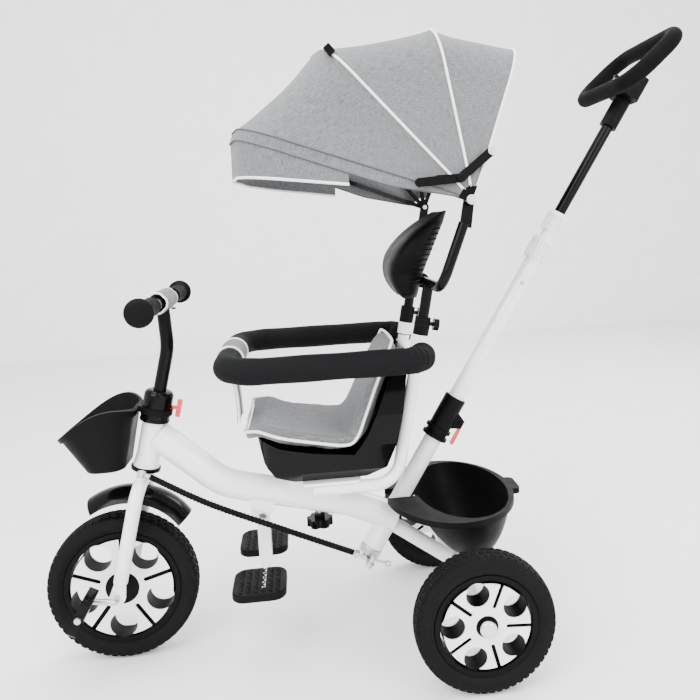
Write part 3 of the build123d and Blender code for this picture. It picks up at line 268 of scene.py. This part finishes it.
def patch(name, columns, rows, shape, paint, body=None, size=(1, 1), closed=False, smooth=True):
    """Surface drawn by shape(u, v), both from 0 to 1. size is its width and length in metres, for the UVs."""
    bm = bmesh.new()
    bmesh.ops.create_grid(bm, x_segments=columns, y_segments=rows, size=0.5, calc_uvs=True)
    layer = bm.loops.layers.uv.verify()
    for face in bm.faces:
        for loop in face.loops:
            u, v = loop.vert.co.x + 0.5, loop.vert.co.y + 0.5
            loop[layer].uv = (u * size[0], v * size[1])
    for vert in bm.verts:
        vert.co = shape(vert.co.x + 0.5, vert.co.y + 0.5)
    if closed:
        bmesh.ops.remove_doubles(bm, verts=bm.verts, dist=1e-6)
        bmesh.ops.recalc_face_normals(bm, faces=bm.faces)
    return finished(name, bm, paint, body, smooth)


def tube(name, points, radius, paint, body=None, cyclic=False, smoothing=True, sides=4):
    """Round rod or piping along points."""
    curve = bpy.data.curves.new(name, "CURVE")
    curve.dimensions = "3D"
    curve.bevel_depth = radius
    curve.bevel_resolution = sides
    curve.use_fill_caps = True
    spline = curve.splines.new("NURBS" if smoothing else "POLY")
    spline.points.add(len(points) - 1)
    for target, point in zip(spline.points, points):
        target.co = (*point, 1)
    spline.use_cyclic_u = cyclic
    if smoothing:
        spline.order_u = 3
        spline.use_endpoint_u = not cyclic
        spline.resolution_u = 5
    piece = bpy.data.objects.new(name, curve)
    bpy.context.scene.collection.objects.link(piece)
    curve.materials.append(paint)
    if body:
        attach(piece, body)
    return piece


def lathe(name, profile, centre, axis, paint, body=None, steps=96, blocks=None, smooth=True):
    """Turns (along, radius) pairs in millimetres round an axis. blocks picks the raised faces."""
    bm = bmesh.new()
    verts = [bm.verts.new((a, 0, r)) for a, r in profile]
    edges = [bm.edges.new(pair) for pair in zip(verts, verts[1:])]
    bmesh.ops.spin(bm, geom=verts + edges, cent=(0, 0, 0), axis=(1, 0, 0), angle=2 * pi, steps=steps,
                   use_merge=True)
    bmesh.ops.remove_doubles(bm, verts=bm.verts, dist=1e-4)
    bmesh.ops.recalc_face_normals(bm, faces=bm.faces)
    if blocks:
        chosen = [f for f in bm.faces if blocks["pick"](f.calc_center_median(), steps)]
        bmesh.ops.inset_individual(bm, faces=chosen, thickness=blocks["edge"], depth=blocks["height"])
    turn = Vector((1, 0, 0)).rotation_difference(Vector(axis)).to_matrix().to_4x4()
    place = Matrix.Translation(centre) @ turn @ Matrix.Scale(0.001, 4)
    bmesh.ops.transform(bm, matrix=place, verts=bm.verts)
    return finished(name, bm, paint, body, smooth)


def block(name, size, centre, rotation, paint, body, bevel=1.0, segments=3):
    """Rounded box; sizes in millimetres."""
    bm = bmesh.new()
    bmesh.ops.create_cube(bm, size=1)
    bmesh.ops.scale(bm, vec=Vector(size), verts=bm.verts)
    bmesh.ops.bevel(bm, geom=bm.edges, offset=bevel, segments=segments, profile=0.5, affect="EDGES")
    place = Matrix.Translation(centre) @ rotation.to_4x4() @ Matrix.Scale(0.001, 4)
    bmesh.ops.transform(bm, matrix=place, verts=bm.verts)
    return finished(name, bm, paint, body)


# ---- tyres with ring lines and shoulder blocks
def tyre(name, hub, x, radius, body, node):
    r = radius
    profile = [(-15, r - 30), (-17.5, r - 29.5), (-19.6, r - 27), (-21.6, r - 22.5), (-22, r - 22.1),
               (-22.4, r - 21), (-22.9, r - 17), (-23, r - 13.5), (-22.5, r - 13), (-22.6, r - 12.2),
               (-22, r - 9), (-20.6, r - 6.4), (-17, r - 4), (-12, r - 2.7), (-7.5, r - 2.1),
               (-3.2, r - 1.9)]
    profile += [(0, r - 1.9)] + [(-a, b) for a, b in reversed(profile)]

    def pick(centre, steps):
        step = int(round((atan2(centre.y, centre.z) / (2 * pi)) * steps - 0.5))
        side = abs(centre.x)
        if 14 < side < 20.5 and hypot(centre.y, centre.z) > r - 7:
            return step % 3 != 0
        if 8 < side < 12.5 and hypot(centre.y, centre.z) > r - 4:
            return (step + 1) % 3 != 0
        return side < 4 and (step + 2) % 3 != 0

    made = lathe(name, profile, at(x, *hub), (1, 0, 0), paints["tyre"], body, steps=168,
                 blocks={"pick": pick, "edge": 0.45, "height": 1.7})
    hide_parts(node)
    return made


tyre("frontTyre", frontHub, 0, 127, "front_wheel", "front_tyre")
tyre("rearTyreLeft", rearHub, 206, 110.5, "rear_wheel_left", "rear_tyre_left")
tyre("rearTyreRight", rearHub, -206, 110.5, "rear_wheel_right", "rear_tyre_right")
print("tyres ready")

# ---- canopy
canopyHalf = 208
bows = {"rear": (67.5, 266), "second": (97, 281), "first": (130, 328), "front": (159.5, 372)}
cornerRadius = 82
splay = 50
legFoot = 40


def rounded(corners, radius, steps=14):
    """Points along a line through corners, each turned by an arc."""
    corners = [Vector(c) for c in corners]
    points = [corners[0]]
    for before, corner, after in zip(corners, corners[1:], corners[2:]):
        back = (before - corner).normalized()
        ahead = (after - corner).normalized()
        turn = pi - back.angle(ahead)
        reach = radius * tan(turn / 2)
        weight = cos(turn / 2)
        start, end = corner + back * reach, corner + ahead * reach
        for step in range(steps + 1):
            t = step / steps
            parts = ((1 - t) ** 2, 2 * weight * t * (1 - t), t * t)
            points.append((start * parts[0] + corner * parts[1] + end * parts[2]) / sum(parts))
    return points + [corners[-1]]


outlines = {}


def archOutline(reach, foot):
    """Points of a bow's outline and their distances along it."""
    if (reach, foot) not in outlines:
        half = canopyHalf
        corners = [(half, foot), (half, legFoot), (half - splay, reach - 22), (0, reach + 6),
                   (splay - half, reach - 22), (-half, legFoot), (-half, foot)]
        points = rounded(corners, cornerRadius)
        lengths = [0]
        for a, b in zip(points, points[1:]):
            lengths.append(lengths[-1] + (b - a).length)
        outlines[reach, foot] = points, lengths
    return outlines[reach, foot]


def archPoint(reach, t, foot=20):
    """Point of a bow's outline at t from 0 to 1: across, and away from the pivot."""
    points, lengths = archOutline(reach, foot)
    s = min(1, max(0, t)) * lengths[-1]
    index = min(len(points) - 2, max(0, bisect(lengths, s) - 1))
    share = (s - lengths[index]) / max(1e-9, lengths[index + 1] - lengths[index])
    return points[index].lerp(points[index + 1], share)


def onBow(angle, across, away):
    a = radians(angle)
    return at(across, pivot[0] + away * cos(a), pivot[1] + away * sin(a))


def bowPoint(bow, t, grow=0.0, foot=20):
    angle, reach = bow
    across, away = archPoint(reach, t, foot=foot)
    side = 1 if across > 0 else -1
    across += side * grow * min(1, abs(across) / canopyHalf)
    return onBow(angle, across, away + grow)


fabricThickness = 0.002


def asSheet(node):
    """Works out a sheet's cut area: the volume of its CAD panel over the cloth's thickness."""
    panel = bmesh.new()
    panel.from_mesh(frame["nodes"][node].data)
    area = abs(panel.calc_volume()) / fabricThickness
    panel.free()


def gore(name, lowBow, highBow, node, sag, area, paint):
    def shape(u, v):
        a = bowPoint(bows[lowBow], u)
        b = bowPoint(bows[highBow], u)
        point = a.lerp(b, v)
        middle = 4 * v * (1 - v)
        wrinkle = sin(u * 47 + v * 5) * 0.0004 + sin(u * 19 - v * 7 + 1) * 0.0006
        inward = at(0, pivot[0] - 40, pivot[1] + 60) - point
        edge = min(1, 5 * min(u, 1 - u))
        return point + inward.normalized() * middle * (sag * edge + wrinkle)

    width, length = area
    made = patch(name, 120, 26, shape, paint, size=(width, length))
    start = bowPoint(bows[lowBow], 0.5)
    end = bowPoint(bows[highBow], 0.5)
    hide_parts(node)
    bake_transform(made)
    asSheet(node)
    return made


diagonal = heatherPaint("heatherFront")
gore("canopyRear", "rear", "second", "canopy_rear_panel", 0.003,
                (0.784, 0.143), paints["grey_fabric"])
gore("canopyMiddle", "second", "first", "canopy_middle_panel", 0.005,
                  (0.874, 0.182), paints["grey_fabric"])
gore("canopyFront", "first", "front", "canopy_front_panel", 0.007,
                 (0.958, 0.186), diagonal)

for name, bow, body in (("Rear", "rear", "canopy_carrier"), ("Second", "second", "second_bow"),
                        ("First", "first", "first_bow")):
    tube(f"piping{name}", [bowPoint(bows[bow], t / 60, 0.8) for t in range(61)], 0.0021, piping, body)

# band below the front seam, and the stitched line over it
frontAngle, frontReach = bows["front"]


def bandPoint(u, drop, grow=0.6):
    across, away = archPoint(frontReach, u)
    a = radians(frontAngle)
    down = min(1, away / 120)
    offset = Vector((0, -sin(a), cos(a))) * drop / 1000 * down
    return onBow(frontAngle, across * (1 + grow / canopyHalf), away + grow) + offset


def bandShape(u, v):
    return bandPoint(u, 1 + 17 * v)


patch("canopyBand", 120, 3, bandShape, paints["grey_fabric"], "front_bow", (0.99, 0.018))
tube("bandSeam", [bandPoint(t / 60, 0.5, 1.2) for t in range(61)], 0.0012, darkThread, "front_bow")
tube("bandPiping", [bandPoint(t / 60, 18, 0.4) for t in range(61)], 0.0009, darkThread, "front_bow")
print("canopy ready")


# ---- visor: hangs from the band, round the front
def visorShape(u, v):
    """Hangs straight down from the front bow, shallower toward its ends."""
    top = bandPoint(0.172 + 0.656 * u, 16, -0.8)
    back = (top.y - at(0, 200, 0).y) * 1000
    bottom = min((812 - back * 0.129) / 1000, top.z - 0.0008)
    drape = sin(u * 40) * 0.0012 * v
    outward = Vector((top.x / 0.2, -0.9, 0)) * drape
    return Vector((top.x, top.y, top.z + (bottom - top.z) * v)) + outward


visor = patch("visor", 110, 12, visorShape, paints["grey_fabric"], "front_bow",
              (0.63, 0.063))
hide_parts("canopy_visor")
tube("visorBinding", [visorShape(t / 60, 1) for t in range(61)], 0.0022, piping, "front_bow")
print("visor ready")


# ---- guard bar cover: a tube round the bar's route, with folds near its rear ends
def guardRoute():
    """Middle line of the guard bar from the left rear end round the front, as points."""
    half, front, rear, corner = 159, 210, 519, 60
    points = []
    for step in range(13):
        a = radians(90 * step / 12)
        points.append((half - 34 + 34 * cos(radians(90) - a) , rear - 34 + 34 * sin(radians(90) - a)))
    for step in range(1, 12):
        points.append((half, rear - 34 - (rear - front - 34 - corner) * step / 12))
    for step in range(13):
        a = radians(90 * step / 12)
        points.append((half - corner + corner * cos(a), front + corner - corner * sin(a)))
    return points


leftHalf = guardRoute()
route = [(post, 519) for post in (104, 112, 120)] + leftHalf + [(x, 210) for x in (80, 60, 40, 20, 0)]
route = route + [(-x, y) for x, y in reversed(route[:-1])]


def routePoint(share):
    place = share * (len(route) - 1)
    index = min(int(place), len(route) - 2)
    part = place - index
    a, b = Vector(route[index]), Vector(route[index + 1])
    return a.lerp(b, part), (b - a).normalized()


def guardShape(u, v):
    middle, way = routePoint(u)
    angle = 2 * pi * v
    out = Vector((way.y, -way.x))
    side = min(u, 1 - u)
    folds = 0.9 * sin(side * 330 + 1.2 * sin(angle)) * max(0, 1 - side / 0.2)
    radius = 20.7 + folds + 0.35 * sin(u * 90 + angle * 2)
    if side < 0.012:
        radius *= 0.35 + 0.65 * (side / 0.012) ** 0.5
    offset = out * radius * cos(angle)
    return at(middle.x + offset.x, middle.y + offset.y, 513 + radius * sin(angle))


guard = patch("guardCover", 420, 28, guardShape, paints["black_fabric"], "frame",
              (1.2, 0.132),
              closed=True)
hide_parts("guard_bar")

# grey band round the front of the bar, with the crotch strap
def wrap(half, grow):
    def shape(u, v):
        angle = 2 * pi * v
        radius = 22.2 + grow + 0.4 * sin(u * 9 + angle * 3)
        return at(-half + 2 * half * u, 210 + radius * cos(angle), 513 + radius * sin(angle))

    return shape


band = patch("guardBand", 40, 40, wrap(44, 0), paints["grey_fabric"], "frame",
             (0.088, 0.14), closed=True)
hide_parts("guard_band")
for side in (-1, 1):
    ring = [at(side * 45, 210 + 22.6 * cos(2 * pi * k / 24),
               513 + 22.6 * sin(2 * pi * k / 24)) for k in range(24)]
    tube(f"bandEdge{'Left' if side > 0 else 'Right'}", ring, 0.002, piping, "frame",
         cyclic=True)


def strapShape(u, v):
    wide = 33 - 8 * sin(pi * v)
    return at((2 * u - 1) * wide, 211 + 6 * v + 2.5 * sin(3 * v), 490 - 88 * v)


strap = patch("crotchStrap", 12, 24, strapShape, paints["grey_fabric"], "frame",
              (0.06, 0.088))
strap.modifiers.new("thickness", "SOLIDIFY").thickness = 0.0035
for side in (0, 1):
    tube(f"strapEdge{side}", [strapShape(side, t / 12) for t in range(13)], 0.0024, piping, "frame")
print("guard bar ready")


# ---- pad on the handlebar
def barPadShape(u, v):
    angle = 2 * pi * v
    x = (2 * u - 1) * 47
    end = max(0, abs(2 * u - 1) - 0.93) / 0.07
    radius = (16.4 + 1.8 * abs(cos(2 * angle)) ** 0.5 + 0.5 * sin(u * 12 + angle)) * (1 - 0.12 * end ** 2)
    return at(x, 100 + radius * cos(angle), 614 + radius * sin(angle))


barPad = patch("barPad", 60, 48, barPadShape, paints["grey_fabric"], "steered_front",
               (0.096, 0.115),
               closed=True)
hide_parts("bar_pad")
for side in (-1, 1):
    ring = [barPadShape(0.5 + side * 0.49, k / 24) for k in range(24)]
    tube(f"padEdge{'Left' if side > 0 else 'Right'}", ring, 0.0017, piping, "steered_front",
         cyclic=True)
    for step in (-1, 1):
        block(f"padSnap{'Left' if side > 0 else 'Right'}{'A' if step > 0 else 'B'}", (7, 7, 3),
              at(side * 30, 100 + 13 * step,
                 597.5), Matrix.Identity(3), paints["black_gloss"], "steered_front",
              1.2)


# ---- grips: sleeve with rings and an end flange
for side, name in ((1, "Left"), (-1, "Right")):
    profile = [(0, 0), (0, 14), (1.2, 15.2), (3, 15.4)]
    for k in range(8):
        start = 5 + k * 9
        profile += [(start, 14.4), (start + 1, 13.4), (start + 3, 13.4), (start + 4, 14.4),
                    (start + 5.5, 14.8)]
    profile += [(79, 14.5), (82, 14.6), (84, 20.6), (85.5, 21.8), (88.5, 21.8), (90, 20.4), (91.5, 15),
                (92, 0)]
    grip = lathe(f"grip{name}", profile, at(side * 90, 100, 614), (side, 0, 0), paints["black_matt"],
                 "steered_front", 48)
    if side > 0:
        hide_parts("grips")


# ---- ribbed sleeve of the steering link
linkFront = onLine(frontHub, steerAngle, 210.3, 0, 38)
linkRear = onLine(poleFoot, poleAngle, -110, 0, 38)
linkWay = (linkRear - linkFront).normalized()
sagging = Vector((0, 0, -0.001))
linkRoute = [linkFront + linkWay * 0.015, linkFront + linkWay * 0.12 + sagging * 9,
             linkFront + linkWay * 0.26 + sagging * 5, linkRear - linkWay * 0.036]


def bend(points, share):
    """Smooth line through four points."""
    count = len(points) - 1
    place = share * count
    i = min(int(place), count - 1)
    t = place - i
    p = [points[max(0, min(count, i + k))] for k in (-1, 0, 1, 2)]
    return 0.5 * (2 * p[1] + (p[2] - p[0]) * t + (2 * p[0] - 5 * p[1] + 4 * p[2] - p[3]) * t ** 2 +
                  (3 * p[1] - p[0] - 3 * p[2] + p[3]) * t ** 3)


def linkShape(u, v):
    middle = bend(linkRoute, u)
    way = (bend(linkRoute, min(1, u + 0.01)) - bend(linkRoute, max(0, u - 0.01))).normalized()
    side = Vector((1, 0, 0))
    up = side.cross(way)
    angle = 2 * pi * v
    radius = 5.1 + 0.55 * sin(u * 2 * pi * 62 + angle)
    return middle + (side * cos(angle) + up * sin(angle)) * radius / 1000


link = patch("linkSleeve", 480, 14, linkShape, paints["black_matt"], "steering_link",
             closed=True)
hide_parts("link_sleeve")
print("bar, grips and link ready")


# ---- footrest pads with chevron treads
def footPad(side):
    bm = bmesh.new()
    bmesh.ops.create_cube(bm, size=1)
    bmesh.ops.scale(bm, vec=Vector((94, 88, 13)), verts=bm.verts)
    upright = [e for e in bm.edges if abs(e.verts[0].co.z - e.verts[1].co.z) > 1]
    bmesh.ops.bevel(bm, geom=upright, offset=22, segments=8, profile=0.5, affect="EDGES")
    rest = [e for e in bm.edges if abs(e.verts[0].co.z - e.verts[1].co.z) < 0.1 and len(e.link_faces) == 2 and
            abs(e.link_faces[0].normal.z) + abs(e.link_faces[1].normal.z) > 0.5]
    bmesh.ops.bevel(bm, geom=rest, offset=2.5, segments=3, profile=0.5, affect="EDGES")
    for column in range(5):
        for row in range(6):
            for half in (-1, 1):
                made = bmesh.ops.create_cube(bm, size=1)["verts"]
                bmesh.ops.scale(bm, vec=Vector((8, 3.2, 2)), verts=made)
                bmesh.ops.rotate(bm, verts=made, cent=(0, 0, 0), matrix=Matrix.Rotation(half * 0.6, 3, "Z"))
                bmesh.ops.translate(bm, verts=made,
                                    vec=((column - 2) * 16 + half * 3, (row - 2.5) * 12, 7))
    place = Matrix.Translation(at(side * 81, 238, 140)) @ Matrix.Scale(0.001, 4)
    bmesh.ops.transform(bm, matrix=place, verts=bm.verts)
    return finished(f"footPad{'Left' if side > 0 else 'Right'}", bm, paints["black_matt"], "footrest",
                    smooth=False)


padLeft = footPad(1)
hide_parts("footrest_pads")
footPad(-1)
print("footrest ready")


# ---- headrest: moulded crescent with a stack of ribs
def headrestOutline(z):
    """Half width of the headrest at a height."""
    points = [(597, 46), (606, 60), (640, 66), (672, 84), (700, 86), (722, 82), (743, 52)]
    for (z0, w0), (z1, w1) in zip(points, points[1:]):
        if z <= z1:
            return w0 + (w1 - w0) * (z - z0) / (z1 - z0)
    return 52


def headrestSide(t):
    """Side view at t from the bottom to the top: rear and front distance behind the front axle, and height."""
    z = 598 + 144 * t
    rear = 532 + 56 * t ** 1.25
    front = rear - 10 - 62 * sin(pi * min(1, t * 0.94 + 0.07)) ** 0.75
    return rear, front, z


def headrestShape(u, v):
    rear, front, z = headrestSide(v)
    angle = 2 * pi * u
    half = headrestOutline(z)
    middle = (rear + front) / 2
    depth = (rear - front) / 2
    c, s = cos(angle), sin(angle)
    x = half * (abs(c) ** 0.62) * (1 if c > 0 else -1)
    y = middle + depth * (abs(s) ** 0.7) * (1 if s > 0 else -1)
    y += 9 * (1 - (x / max(half, 1)) ** 2) * (1 if s < 0 else 0.6) - 4
    return at(x, y, z)


headrest = patch("headrest", 72, 36, headrestShape, paints["black_matt"], "headrest",
                 closed=True)
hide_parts("headrest")
for level in range(11):
    share = 0.2 + level * 0.058
    rear, front, z = headrestSide(share)
    half = headrestOutline(z)
    for side in (-1, 1):
        reach = half + 1.5
        start = at(side * reach * 0.93, rear - 8, z + 3)
        middle = at(side * (reach + 0.6), (rear + front) / 2 + 4, z)
        end = at(side * reach * 0.86, front + 10, z - 4)
        tube(f"headrestRib{level}{'Left' if side > 0 else 'Right'}", [start, middle, end], 0.0016,
             paints["black_gloss"], "headrest")
for side in (-1, 1):
    lathe(f"headrestClamp{'Left' if side > 0 else 'Right'}",
                  [(0, 8.2), (0, 12), (1, 13), (13, 13), (14, 12), (14, 8.2)],
                  at(side * 10 - 7, 542.5, 624.6), (1, 0,
                                                    0), paints["black_matt"], "headrest", 48)
print("headrest ready")


# ---- seat pad: stuffed by a short cloth simulation
padLine = [(231, 401), (252, 402), (288, 389), (342, 378), (392, 371), (412, 384), (428, 416), (447, 458),
           (465, 495), (482, 530)]


def seatShape(u, v):
    """Middle layer of the pad: across, then from the front edge over the crease to the top."""
    line = [Vector((0, y, z)) for y, z in padLine]
    p = bend(line, v)
    side = 2 * u - 1
    half = 114 if v < 0.5 else 114 - 38 * ((v - 0.5) / 0.5) ** 1.2
    lift = 7 * abs(side) ** 3 * (1 - v)
    return at(side * half, p.y - 9 * abs(side) ** 3 * max(0, v - 0.45), p.z + lift)


def inflated(piece, pressure, frames, limit, voxel):
    """Voxel remesh, a pressure cloth simulation and one subdivision. Movement is capped at limit metres."""
    remesh = piece.modifiers.new("even", "REMESH")
    remesh.mode = "VOXEL"
    remesh.voxel_size = voxel
    bpy.context.view_layer.objects.active = piece
    piece.select_set(True)
    bpy.ops.object.modifier_apply(modifier="even")
    rest = [v.co.copy() for v in piece.data.vertices]
    cloth = piece.modifiers.new("stuffing", "CLOTH")
    cloth.settings.use_pressure = True
    cloth.settings.uniform_pressure_force = pressure
    cloth.settings.quality = 4
    cloth.settings.mass = 0.2
    cloth.settings.tension_stiffness = 30
    cloth.settings.compression_stiffness = 12
    cloth.settings.bending_stiffness = 0.4
    cloth.settings.effector_weights.gravity = 0
    cloth.collision_settings.use_collision = False
    cloth.point_cache.frame_start = 1
    cloth.point_cache.frame_end = frames
    scene = bpy.context.scene
    for moment in range(1, frames + 1):
        scene.frame_set(moment)
    bpy.ops.object.modifier_apply(modifier="stuffing")
    scene.frame_set(1)
    for vert, start in zip(piece.data.vertices, rest):
        move = vert.co - start
        if move.length > limit:
            vert.co = start + move * (limit / move.length)
    piece.modifiers.new("soft", "SUBSURF").levels = 1
    piece.modifiers["soft"].render_levels = 1
    piece.select_set(False)


def padUvs(piece):
    """Flat UVs in metres from the pad's own directions."""
    layer = piece.data.uv_layers.new(name="cloth")
    for loop in piece.data.loops:
        co = piece.data.vertices[loop.vertex_index].co
        layer.data[loop.index].uv = (co.x, co.y * 0.8 + co.z * 1.1)


seatPad = patch("seatPad", 48, 72, seatShape, paints["grey_fabric"], None, (0.24, 0.36))
seatPad.modifiers.new("thick", "SOLIDIFY").thickness = 0.015
seatPad.modifiers["thick"].offset = 0
bpy.context.view_layer.objects.active = seatPad
bpy.ops.object.modifier_apply(modifier="thick")
inflated(seatPad, 4, 16, 0.005, 0.0055)
if not seatPad.data.uv_layers:
    padUvs(seatPad)
seatPad.data.shade_smooth()
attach(seatPad, "frame")
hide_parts("seat_pad")


def seatEdge(side):
    return [seatShape(0.5 + side * 0.502, v / 40) for v in range(41)]


edge = seatEdge(1) + [seatShape(u / 20, 1.0) for u in range(19, 0, -1)] + list(reversed(seatEdge(-1))) + [
    seatShape(u / 20, 0.0) for u in range(1, 20)]
tube("seatBinding", edge, 0.0024, piping, "frame", cyclic=True)
for v in (0.36, 0.56):
    tube(f"seatStitch{int(v * 100)}",
         [seatShape(u / 20, v) + Vector((0, -0.003, 0.0085)) for u in range(1, 20)],
         0.0012, darkThread, "frame")
print("seat ready")


# ---- ribs of the twist collars on the push pole
for name, start, end, radius, body in (("lower", 491, 526, 19.3, "lower_collar"),
                                       ("upper", 547, 578, 17.3, "upper_collar")):
    for k in range(20):
        a = 2 * pi * k / 20
        ribs = []
        for t in (start, (start + end) / 2, end):
            middle = onLine(poleFoot, poleAngle, t)
            up = Vector((0, cos(radians(poleAngle)), sin(radians(poleAngle))))
            side = Vector((1, 0, 0))
            other = up.cross(side)
            ribs.append(middle + (side * cos(a) + other * sin(a)) * (radius - 0.5) / 1000)
        tube(f"{name}CollarRib{k}", ribs, 0.0011, paints["white_plastic"], body,
             smoothing=False,
             sides=2)

# buttons on the handle's hub
for k, (x, t, across) in enumerate(((0, 812, -26), (0, 838, -27), (18, 826, -26))):
    block(f"hubButton{k}", (13, 15, 4), onLine(poleFoot, poleAngle, t, -across * 0.0 + 27, x),
          Matrix.Rotation(radians(poleAngle - 90), 3,
                          "X"), paints["black_gloss"], "pole_top", 1.8)

# clip on the first bow
clipAngle = bows["first"][0]
block("canopyClip", (10, 16, 12), onBow(clipAngle, 150, 300), Matrix.Rotation(radians(clipAngle), 3, "X"),
      paints["black_gloss"], "first_bow", 2)

# pins of the push pole
lathe("poleStop", [(0, 0), (0, 3.2), (2, 3.6), (3.4, 2.8), (4, 0)],
      onLine(poleFoot, poleAngle, 441, 0, 13.6),
      (1, 0, 0), paints["zinc"], "pole_base", 24)

# painted shade: thin black rings where plates and tubes meet, standing in for the shadow in the gap
for x in (80, -80):
    for shift in (-3, -42):
        middle = onLine((529.2, 560), 78.38, shift, 0, x)
        way = Vector((0, cos(radians(78.38)), sin(radians(78.38))))
        other = Vector((1, 0, 0)).cross(way)
        ring = [middle + (Vector((1, 0, 0)) * cos(2 * pi * k / 16) + other * sin(2 * pi * k / 16)) * 0.0132
                for k in range(16)]
        tube(f"ferruleShadeLine{'L' if x > 0 else 'R'}{abs(shift)}", ring, 0.0007, seamShadePaint, "frame",
             cyclic=True)

# ---- studio
floor = patch("floor", 2, 2, lambda u, v: Vector(((u - 0.5) * 16, (v - 0.5) * 16, 0)),
              solidPaint("floorPaint", (0.82, 0.82, 0.82), 0.6, 0.03))
wall = patch("wall", 2, 2, lambda u, v: Vector((-3.2, (u - 0.5) * 16, (v - 0.02) * 8)),
             solidPaint("wallPaint", (0.85, 0.85, 0.85), 0.8, 0.03))

world = bpy.data.worlds.new("studio")
bpy.context.scene.world = world
world.use_nodes = True
world.node_tree.nodes["Background"].inputs[0].default_value = (1, 1, 1, 1)
world.node_tree.nodes["Background"].inputs[1].default_value = 2.3


def lamp(name, place, target, size, power):
    light = bpy.data.lights.new(name, "AREA")
    light.shape = "RECTANGLE"
    light.size = size[0]
    light.size_y = size[1]
    light.energy = power
    made = bpy.data.objects.new(name, light)
    bpy.context.scene.collection.objects.link(made)
    made.location = place
    made.rotation_mode = "QUATERNION"
    made.rotation_quaternion = (Vector(target) - Vector(place)).to_track_quat("-Z", "Y")


lamp("key", (1.9, -1.5, 2.3), (0, 0, 0.5), (1.8, 1.8), 130)
lamp("fill", (2.4, 1.8, 1.3), (0, 0, 0.5), (1.6, 1.6), 60)
lamp("top", (0, 0, 3.0), (0, 0, 0.5), (2.2, 2.2), 120)
lamp("rim", (-1.6, 1.6, 2.1), (0, 0, 0.6), (1.2, 1.2), 50)

# ---- camera at the photograph's angle
yaw, pitch, roll = 0.1049, 0.0959, -0.0496
forward = Vector((-cos(pitch) * cos(yaw), cos(pitch) * sin(yaw), -sin(pitch)))
right = Vector((sin(yaw), cos(yaw), 0))
up = right.cross(forward)
rolledRight = right * cos(roll) + up * sin(roll)
rolledUp = up * cos(roll) - right * sin(roll)
cameraData = bpy.data.cameras.new("camera")
cameraData.sensor_width = 36
cameraData.lens = 36.46
cameraData.shift_x = -0.0378
cameraData.shift_y = -0.0816
cameraData.clip_start = 0.05
camera = bpy.data.objects.new("camera", cameraData)
bpy.context.scene.collection.objects.link(camera)
facing = Matrix((rolledRight, rolledUp, -forward)).transposed().to_4x4()
camera.matrix_world = Matrix.Translation((1.2237, -0.0916, 0.7243)) @ facing
bpy.context.scene.camera = camera

bpy.context.view_layer.update()
print("scene ready")
